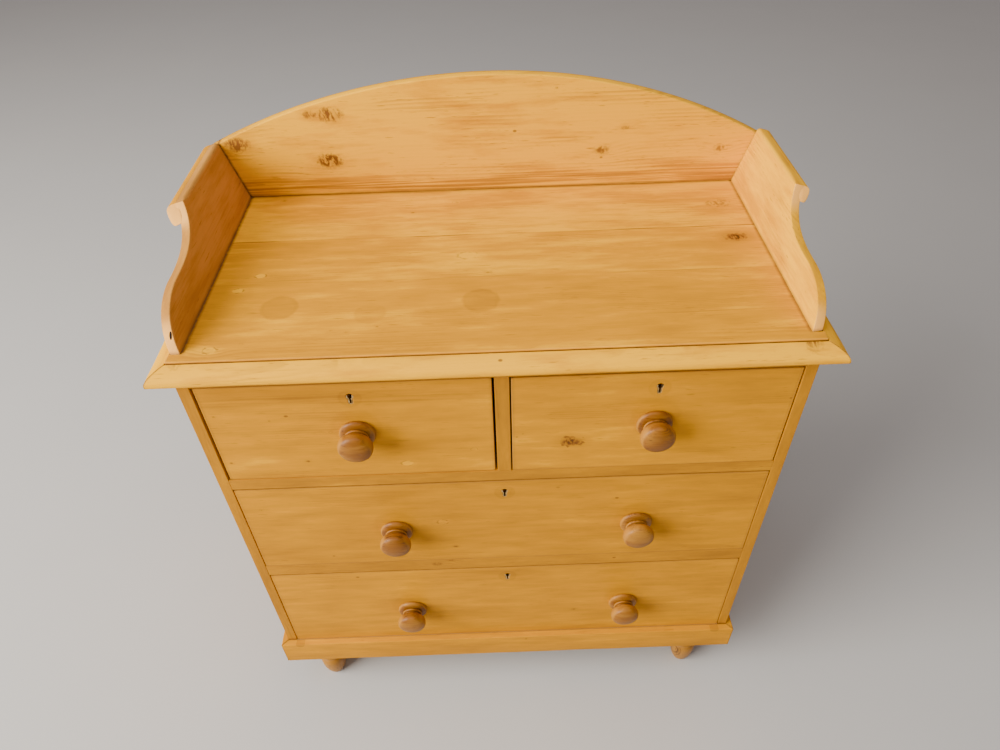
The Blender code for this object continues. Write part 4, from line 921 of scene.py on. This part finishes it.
class WASHSTAND_OT_boards(Operator):
    """Planed copies of the jointed boards, their arrises rounded by a bevel"""
    bl_idname = "washstand.boards"
    bl_label = "Jointed boards"

    def execute(self, context):
        done = {"top_board", "gallery_back", "back_panel"}
        for node in NODES:
            shaped = node.startswith(("moulding", "plinth", "gallery", "foot")) or "_knob" in node
            if shaped or node in done or SLOT[node] not in ("waxed_pine", "inner_pine"):
                continue
            self.plane(node)
        return {"FINISHED"}

    def plane(self, node):
        """The node's triangles welded into flat faces, with a bevel on every square edge."""
        work = bmesh.new()
        work.from_mesh(frame["nodes"][node].data)
        bmesh.ops.remove_doubles(work, verts=work.verts, dist=0.00002)
        bmesh.ops.dissolve_limit(work, angle_limit=radians(0.5), verts=work.verts, edges=work.edges)
        work.verts.index_update()
        mesh = bpy.data.meshes.new(node + "_planed")
        mesh.from_pydata([v.co.copy() for v in work.verts], [],
                         [[v.index for v in face.verts] for face in work.faces])
        work.free()
        item = placed(node + "_planed", mesh)
        bevel = item.modifiers.new("arris", "BEVEL")
        bevel.width = settings("sizes").arris * (2.0 if node.endswith("_drawer_front") else 1.0)
        bevel.segments = 2
        bevel.limit_method = "ANGLE"
        bevel.angle_limit = radians(50)
        bevel.use_clamp_overlap = True
        low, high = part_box(node)
        options = {"box": (low, high), "knots": marks(on_front, FRONT_KNOTS.get(node, ())), "creases": []}
        if node in ("side_left", "side_right", "centre_divider") or node.endswith("_rail"):
            options["wear"] = 0.08
            # Dirt and painted shade on the front faces of the stiles, rails and divider, next to the drawer
            # gaps
            options["creases"] = [(Y, FRONT, 0.004, 0.30)]
        if node.endswith("_rail"):
            # Dirt and painted shade along the rails' upper and lower edges, at the gaps to the drawers
            options["creases"] += [(Z, high.z, 0.002, 0.5), (Z, low.z, 0.002, 0.5)]
        if node in ("side_left", "side_right"):
            turn = 1 if node == "side_left" else -1
            options["knots"] = [((low.x, turn * y, z), radius, heart, 0.5)
                                for y, z, radius, heart in SIDE_KNOTS]
            # Dirt and painted shade along the sides just under the moulding and just above the plinth
            options["creases"] += [(Z, high.z, 0.008, 0.5), (Z, PLINTH_TOP, 0.008, 0.7)]
        if node == "upper_left_drawer_front":
            options["bands"] = ((0.068, 0.016, 0.8),)
        if node.endswith("_drawer_front"):
            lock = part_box(node.replace("_front", "_lock"))
            keyhole = Vector(((lock[0].x + lock[1].x) / 2, FRONT, high.z - KEYHOLE_DROP - 0.003))
            options["stains"] = [(keyhole, 0.016, 0.45)]
            for knob in nodes_with(node.replace("_front", "_knob")):
                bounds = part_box(knob)
                centre = (bounds[0] + bounds[1]) / 2
                options["stains"].append((Vector((centre.x, FRONT, centre.z + 0.012)), 0.036, 0.30))
            # Dirt and painted shade round the edges of the drawer front, in the gaps about the drawer
            options["creases"] = [(Z, high.z, 0.003, 0.60), (Z, low.z, 0.004, 0.6),
                                  (X, low.x, 0.006, 0.35), (X, high.x, 0.006, 0.3)]
        dress(item, node, **options)


class WASHSTAND_OT_top(Operator):
    """Top board of three glued planks with worn arrises, knots and old ring stains"""
    bl_idname = "washstand.top"
    bl_label = "Top board"

    def execute(self, context):
        low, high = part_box("top_board")
        item = piece_from("top_planks", [planed_board(low, high, 0, settings("sizes").top_arris, 40)])
        foot = HALF_WIDTH - settings("sizes").gallery_inset
        toe = FRONT + 0.010
        # Dirt and painted shade: along the splashback's foot and the gallery feet, a broad painted shadow of
        # the left gallery side across the top, and a dark seam line on the front edge above the moulding
        creases = [(Y, SPLASH_FACE, 0.006, 0.7), (X, MIDDLE - foot, 0.007, 1.1, toe),
                   (X, MIDDLE - foot, 0.12, 0.15), (X, MIDDLE + foot, 0.006, 0.8, toe),
                   (Z, SURFACE - 0.0032, 0.0024, 1.2)]
        dress(item, "top_board", box=(low, high), knots=marks(on_top, TOP_KNOTS), creases=creases,
              stains=marks(on_top, TOP_STAINS), joints=((0.060, 1.3), (-0.0557, 0.25)), tint=-0.45)
        return {"FINISHED"}


class WASHSTAND_OT_strips(Operator):
    """Thumb moulding and plinth, three strips of each with open mitres"""
    bl_idname = "washstand.strips"
    bl_label = "Moulding and plinth"

    def execute(self, context):
        s = settings("sizes")
        corner = HALF_WIDTH + FIT
        for kind, section, uneven in (("moulding", moulding_section(), 0.00035),
                                      ("plinth", plinth_section(), 0.0003)):
            for edge in ("front", "left", "right"):
                node = f"{kind}_{edge}"
                grid = strip(section, edge, s.strip_gap, uneven, NODES.index(node))
                item = piece_from(f"{node}_strip", [grid])
                # Dirt and painted shade along the seam with the carcass front and in the mitres
                creases = [(Y, FRONT, 0.0022, 0.8)] if edge == "front" else []
                for hand in (-1, 1):
                    # The mitre plane holds the corner and turns with the hand
                    normal = Vector((hand, 1, 0)).normalized()
                    level = normal.dot(Vector((MIDDLE + hand * corner, FRONT - FIT, 0)))
                    creases.append((normal, level, 0.0022, 0.7))
                options = {"creases": creases, "spacing": 0.0035}
                if node == "moulding_front":
                    options["knots"] = marks(lambda x, out: (x, FRONT - out, SURFACE), MOULDING_KNOTS)
                if node == "plinth_front":
                    options["stains"] = [((MIDDLE + x, FRONT, PLINTH_TOP), 0.0080, 1.1)
                                         for x in (-0.405, 0.405)]
                dress(item, node, **options)
        return {"FINISHED"}


class WASHSTAND_OT_splashback(Operator):
    """Arched splashback with a rounded upper edge"""
    bl_idname = "washstand.splashback"
    bl_label = "Splashback"

    def execute(self, context):
        item = piece_from("splashback", [splash_grid()])
        lean = settings("sizes").gallery_lean
        end = (-cos(lean), 0, -sin(lean))
        corner = Vector(end).dot((MIDDLE - HALF_WIDTH + settings("sizes").gallery_inset, 0, SURFACE))
        # Dirt and painted shade: along the foot and the left end, a broad painted shadow of the left gallery
        # side, and the back face darkened as dust and painted shade
        creases = [(Z, SURFACE, 0.006, 0.85), (end, corner, 0.005, 0.9), (end, corner, 0.11, 0.18),
                   (Y, BACK, 0.008, 0.8)]
        dress(item, "gallery_back", knots=marks(on_splash, SPLASH_KNOTS), creases=creases,
              bands=((-0.085, 0.034, 2.0),), pith=(-0.16, 0.06), spacing=0.0060)
        return {"FINISHED"}


class WASHSTAND_OT_gallery(Operator):
    """Leaning gallery sides with ogee fronts, and the rolls along their outer top edges"""
    bl_idname = "washstand.gallery"
    bl_label = "Gallery sides"

    def execute(self, context):
        for hand, word in ((-1, "left"), (1, "right")):
            side = piece_from(f"ogee_{word}", [gallery_grid(hand)], 40.0)
            # Dirt and painted shade where the side meets the top and the splashback
            options = {"creases": [(Z, SURFACE, 0.005, 0.7), (Y, SPLASH_FACE, 0.006, 0.6)]}
            if hand < 0:
                # The left side gets the browner copy of the pine, painted shade for its inner face, which the
                # light misses
                options["kind"] = "brown_pine"
                # A small hole in the left side, not cut but painted near black as painted shade
                options["holes"] = [((-0.4187, -0.1733, 0.9220), (0.0021, 0.0062, 0.0062))]
            dress(side, f"gallery_side_{word}", **options)
            roll = piece_from(f"roll_{word}", [roll_grid(hand)], 40.0)
            dress(roll, f"gallery_roll_{word}", spacing=0.003)
        return {"FINISHED"}


class WASHSTAND_OT_back(Operator):
    """Boarded back: upright boards with eased edges side by side"""
    bl_idname = "washstand.back"
    bl_label = "Boarded back"

    def execute(self, context):
        low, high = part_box("back_panel")
        count = settings("sizes").back_boards
        step, gap = (high.x - low.x) / count, 0.0002
        grids = [planed_board((low.x + i * step + gap, low.y, low.z),
                              (low.x + (i + 1) * step - gap, high.y, high.z), 2, 0.0018, 8)
                 for i in range(count)]
        item = piece_from("back_boards", grids)
        joints = [((i - count / 2) * step, 0.3) for i in range(1, count)]
        dress(item, "back_panel", joints=joints)
        return {"FINISHED"}


class WASHSTAND_OT_feet(Operator):
    """Turned feet, each with its corner block"""
    bl_idname = "washstand.feet"
    bl_label = "Turned feet"

    def execute(self, context):
        for node in nodes_with("foot"):
            hand = -1 if node.endswith("left") else 1
            front = "front" in node
            x = MIDDLE + hand * FOOT_SPREAD
            y = FRONT + FRONT_FOOT_DEPTH if front else BACK - BACK_FOOT_DEPTH
            ends = sorted((x - hand * BLOCK_HALF, MIDDLE + hand * (HALF_WIDTH - BLOCK_END)))
            block_low = (ends[0], FRONT + FIT if front else y - BLOCK_HALF, PLINTH_FOOT - 0.003)
            block_high = (ends[1], y + BLOCK_HALF if front else BACK - FIT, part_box(node)[1].z)
            grids = [revolve(foot_profile(), (x, y, 0.0), "z"), planed_board(block_low, block_high, 2, 0.001)]
            item = piece_from(f"{node}_turning", grids)
            dress(item, node, spacing=0.0022)
        return {"FINISHED"}


class WASHSTAND_OT_knobs(Operator):
    """Turned drawer knobs"""
    bl_idname = "washstand.knobs"
    bl_label = "Turned knobs"

    def execute(self, context):
        for node in nodes_with("_knob"):
            low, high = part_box(node)
            face = low.y + settings("sizes").knob_reach
            centre = ((low.x + high.x) / 2, face, (low.z + high.z) / 2)
            item = piece_from(f"{node}_turning", [revolve(knob_profile(), centre, "y", 88)], 50.0)
            dress(item, node, spacing=0.0017)
        return {"FINISHED"}


class WASHSTAND_OT_keyholes(Operator):
    """Brass liners of the keyholes, and the finish of the locks and bolts"""
    bl_idname = "washstand.keyholes"
    bl_label = "Keyholes, locks and bolts"

    def execute(self, context):
        c = settings("colours")
        brass = metal_material("aged_brass", c.brass, tuple(v * 0.35 for v in c.brass), 0.30)
        iron = metal_material("worn_iron", c.iron, (0.10, 0.06, 0.04), 0.42)
        for name in DRAWERS:
            low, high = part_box(name + "_front")
            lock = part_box(name + "_lock")
            x = (lock[0].x + lock[1].x) / 2
            liner = keyhole_liner(x, low.y, high.z - KEYHOLE_DROP, 0.00015)
            item = piece_from(name + "_keyhole_liner", [liner], 30.0)
            item.data.materials.append(brass)
            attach(item, name)
            for part, material in (("_lock", brass), ("_bolt", iron)):
                mesh = frame["nodes"][name + part].data
                mesh.materials.clear()
                mesh.materials.append(material)
        return {"FINISHED"}


class WASHSTAND_OT_stage(Operator):
    """Pale floor, soft lights and the camera"""
    bl_idname = "washstand.stage"
    bl_label = "Stage"

    def execute(self, context):
        stage = settings("stage")
        mesh = bpy.data.meshes.new("floor")
        far = 15
        mesh.from_pydata([(-far, -far, 0), (far, -far, 0), (far, far, 0), (-far, far, 0)], [], [(0, 1, 2, 3)])
        floor = placed("floor", mesh)
        material, tree, shader = new_material("pale_floor")
        cloud = object_coordinates(tree).noise(3.0, 4.0)
        tint = opaque(settings("colours").floor)
        shade = cloud.blend(tuple(v * 0.96 for v in tint[:3]) + (1.0,), tint)
        fill(tree, shader, {"Base Color": shade, "Roughness": 0.85})
        mesh.materials.append(material)
        self.light("key", (-4.05, -2.05, 2.68), 3.8, stage.key_power, (1.0, 0.97, 0.93))
        self.light("overhead", (-0.3, -0.6, 3.0), 2.4, stage.top_power, (1.0, 0.99, 0.97))
        world = bpy.data.worlds.new("pale_sky")
        context.scene.world = world
        world.use_nodes = True
        tree = world.node_tree
        fill(tree, tree.nodes["Background"], {"Color": (1.0, 0.90, 0.93, 1.0), "Strength": stage.sky})
        self.camera(stage)
        return {"FINISHED"}

    def light(self, name, place, size, power, tint):
        """Square soft light that looks at the middle of the washstand."""
        data = bpy.data.lights.new(name, "AREA")
        data.size = size
        data.energy = power
        data.color = tint
        lamp = placed(name, data)
        lamp.location = place
        lamp.rotation_euler = (Vector((MIDDLE, 0.0, 0.7)) - Vector(place)).to_track_quat("-Z", "Y").to_euler()

    def camera(self, stage):
        """Camera from its place, yaw, pitch and roll."""
        ahead = Vector((-sin(stage.yaw) * cos(stage.pitch), cos(stage.yaw) * cos(stage.pitch),
                        -sin(stage.pitch)))
        right = Vector((cos(stage.yaw), sin(stage.yaw), 0.0))
        up = right.cross(ahead)
        side = right * cos(stage.roll) + up * sin(stage.roll)
        top = up * cos(stage.roll) - right * sin(stage.roll)
        data = bpy.data.cameras.new("camera")
        data.lens = stage.lens
        data.sensor_width = 36.0
        data.sensor_fit = "HORIZONTAL"
        data.clip_start = 0.01
        data.dof.use_dof = False
        camera = placed("camera", data)
        turn = Matrix((side, top, -ahead)).transposed().to_4x4()
        turn.translation = Vector(stage.place) + Vector((MIDDLE, 0.0, 0.0))
        camera.matrix_world = turn
        bpy.context.scene.camera = camera


class WASHSTAND_PT_pieces(Panel):
    """Lists the washstand's pieces and their settings"""
    bl_label = "Pine washstand"
    bl_idname = "WASHSTAND_PT_pieces"
    bl_space_type = "VIEW_3D"
    bl_region_type = "UI"
    bl_category = "Washstand"

    def draw(self, context):
        layout = self.layout
        for step in STEPS:
            layout.operator(step.bl_idname)
        for kind in GROUPS:
            box = layout.box()
            for name in GROUPS[kind].__annotations__:
                box.prop(settings(kind), name)


GROUPS = {"sizes": WashstandSizes, "colours": WashstandColours, "stage": WashstandStage}
STEPS = (WASHSTAND_OT_boards, WASHSTAND_OT_top, WASHSTAND_OT_strips, WASHSTAND_OT_splashback,
         WASHSTAND_OT_gallery, WASHSTAND_OT_back, WASHSTAND_OT_feet, WASHSTAND_OT_knobs,
         WASHSTAND_OT_keyholes, WASHSTAND_OT_stage)
CLASSES = (*GROUPS.values(), *STEPS, WASHSTAND_PT_pieces)


def register():
    """Register the classes and hang the settings on the scene."""
    for item in CLASSES:
        bpy.utils.register_class(item)
    for kind, group in GROUPS.items():
        setattr(bpy.types.Scene, "washstand_" + kind, PointerProperty(type=group))


def unregister():
    """Take the settings and the classes away again."""
    for kind in GROUPS:
        delattr(bpy.types.Scene, "washstand_" + kind)
    for item in reversed(CLASSES):
        bpy.utils.unregister_class(item)


def main():
    """Register the classes, then make every piece in turn."""
    register()
    for step in STEPS:
        area, name = step.bl_idname.split(".")
        getattr(getattr(bpy.ops, area), name)()


if __name__ == "__main__":
    main()
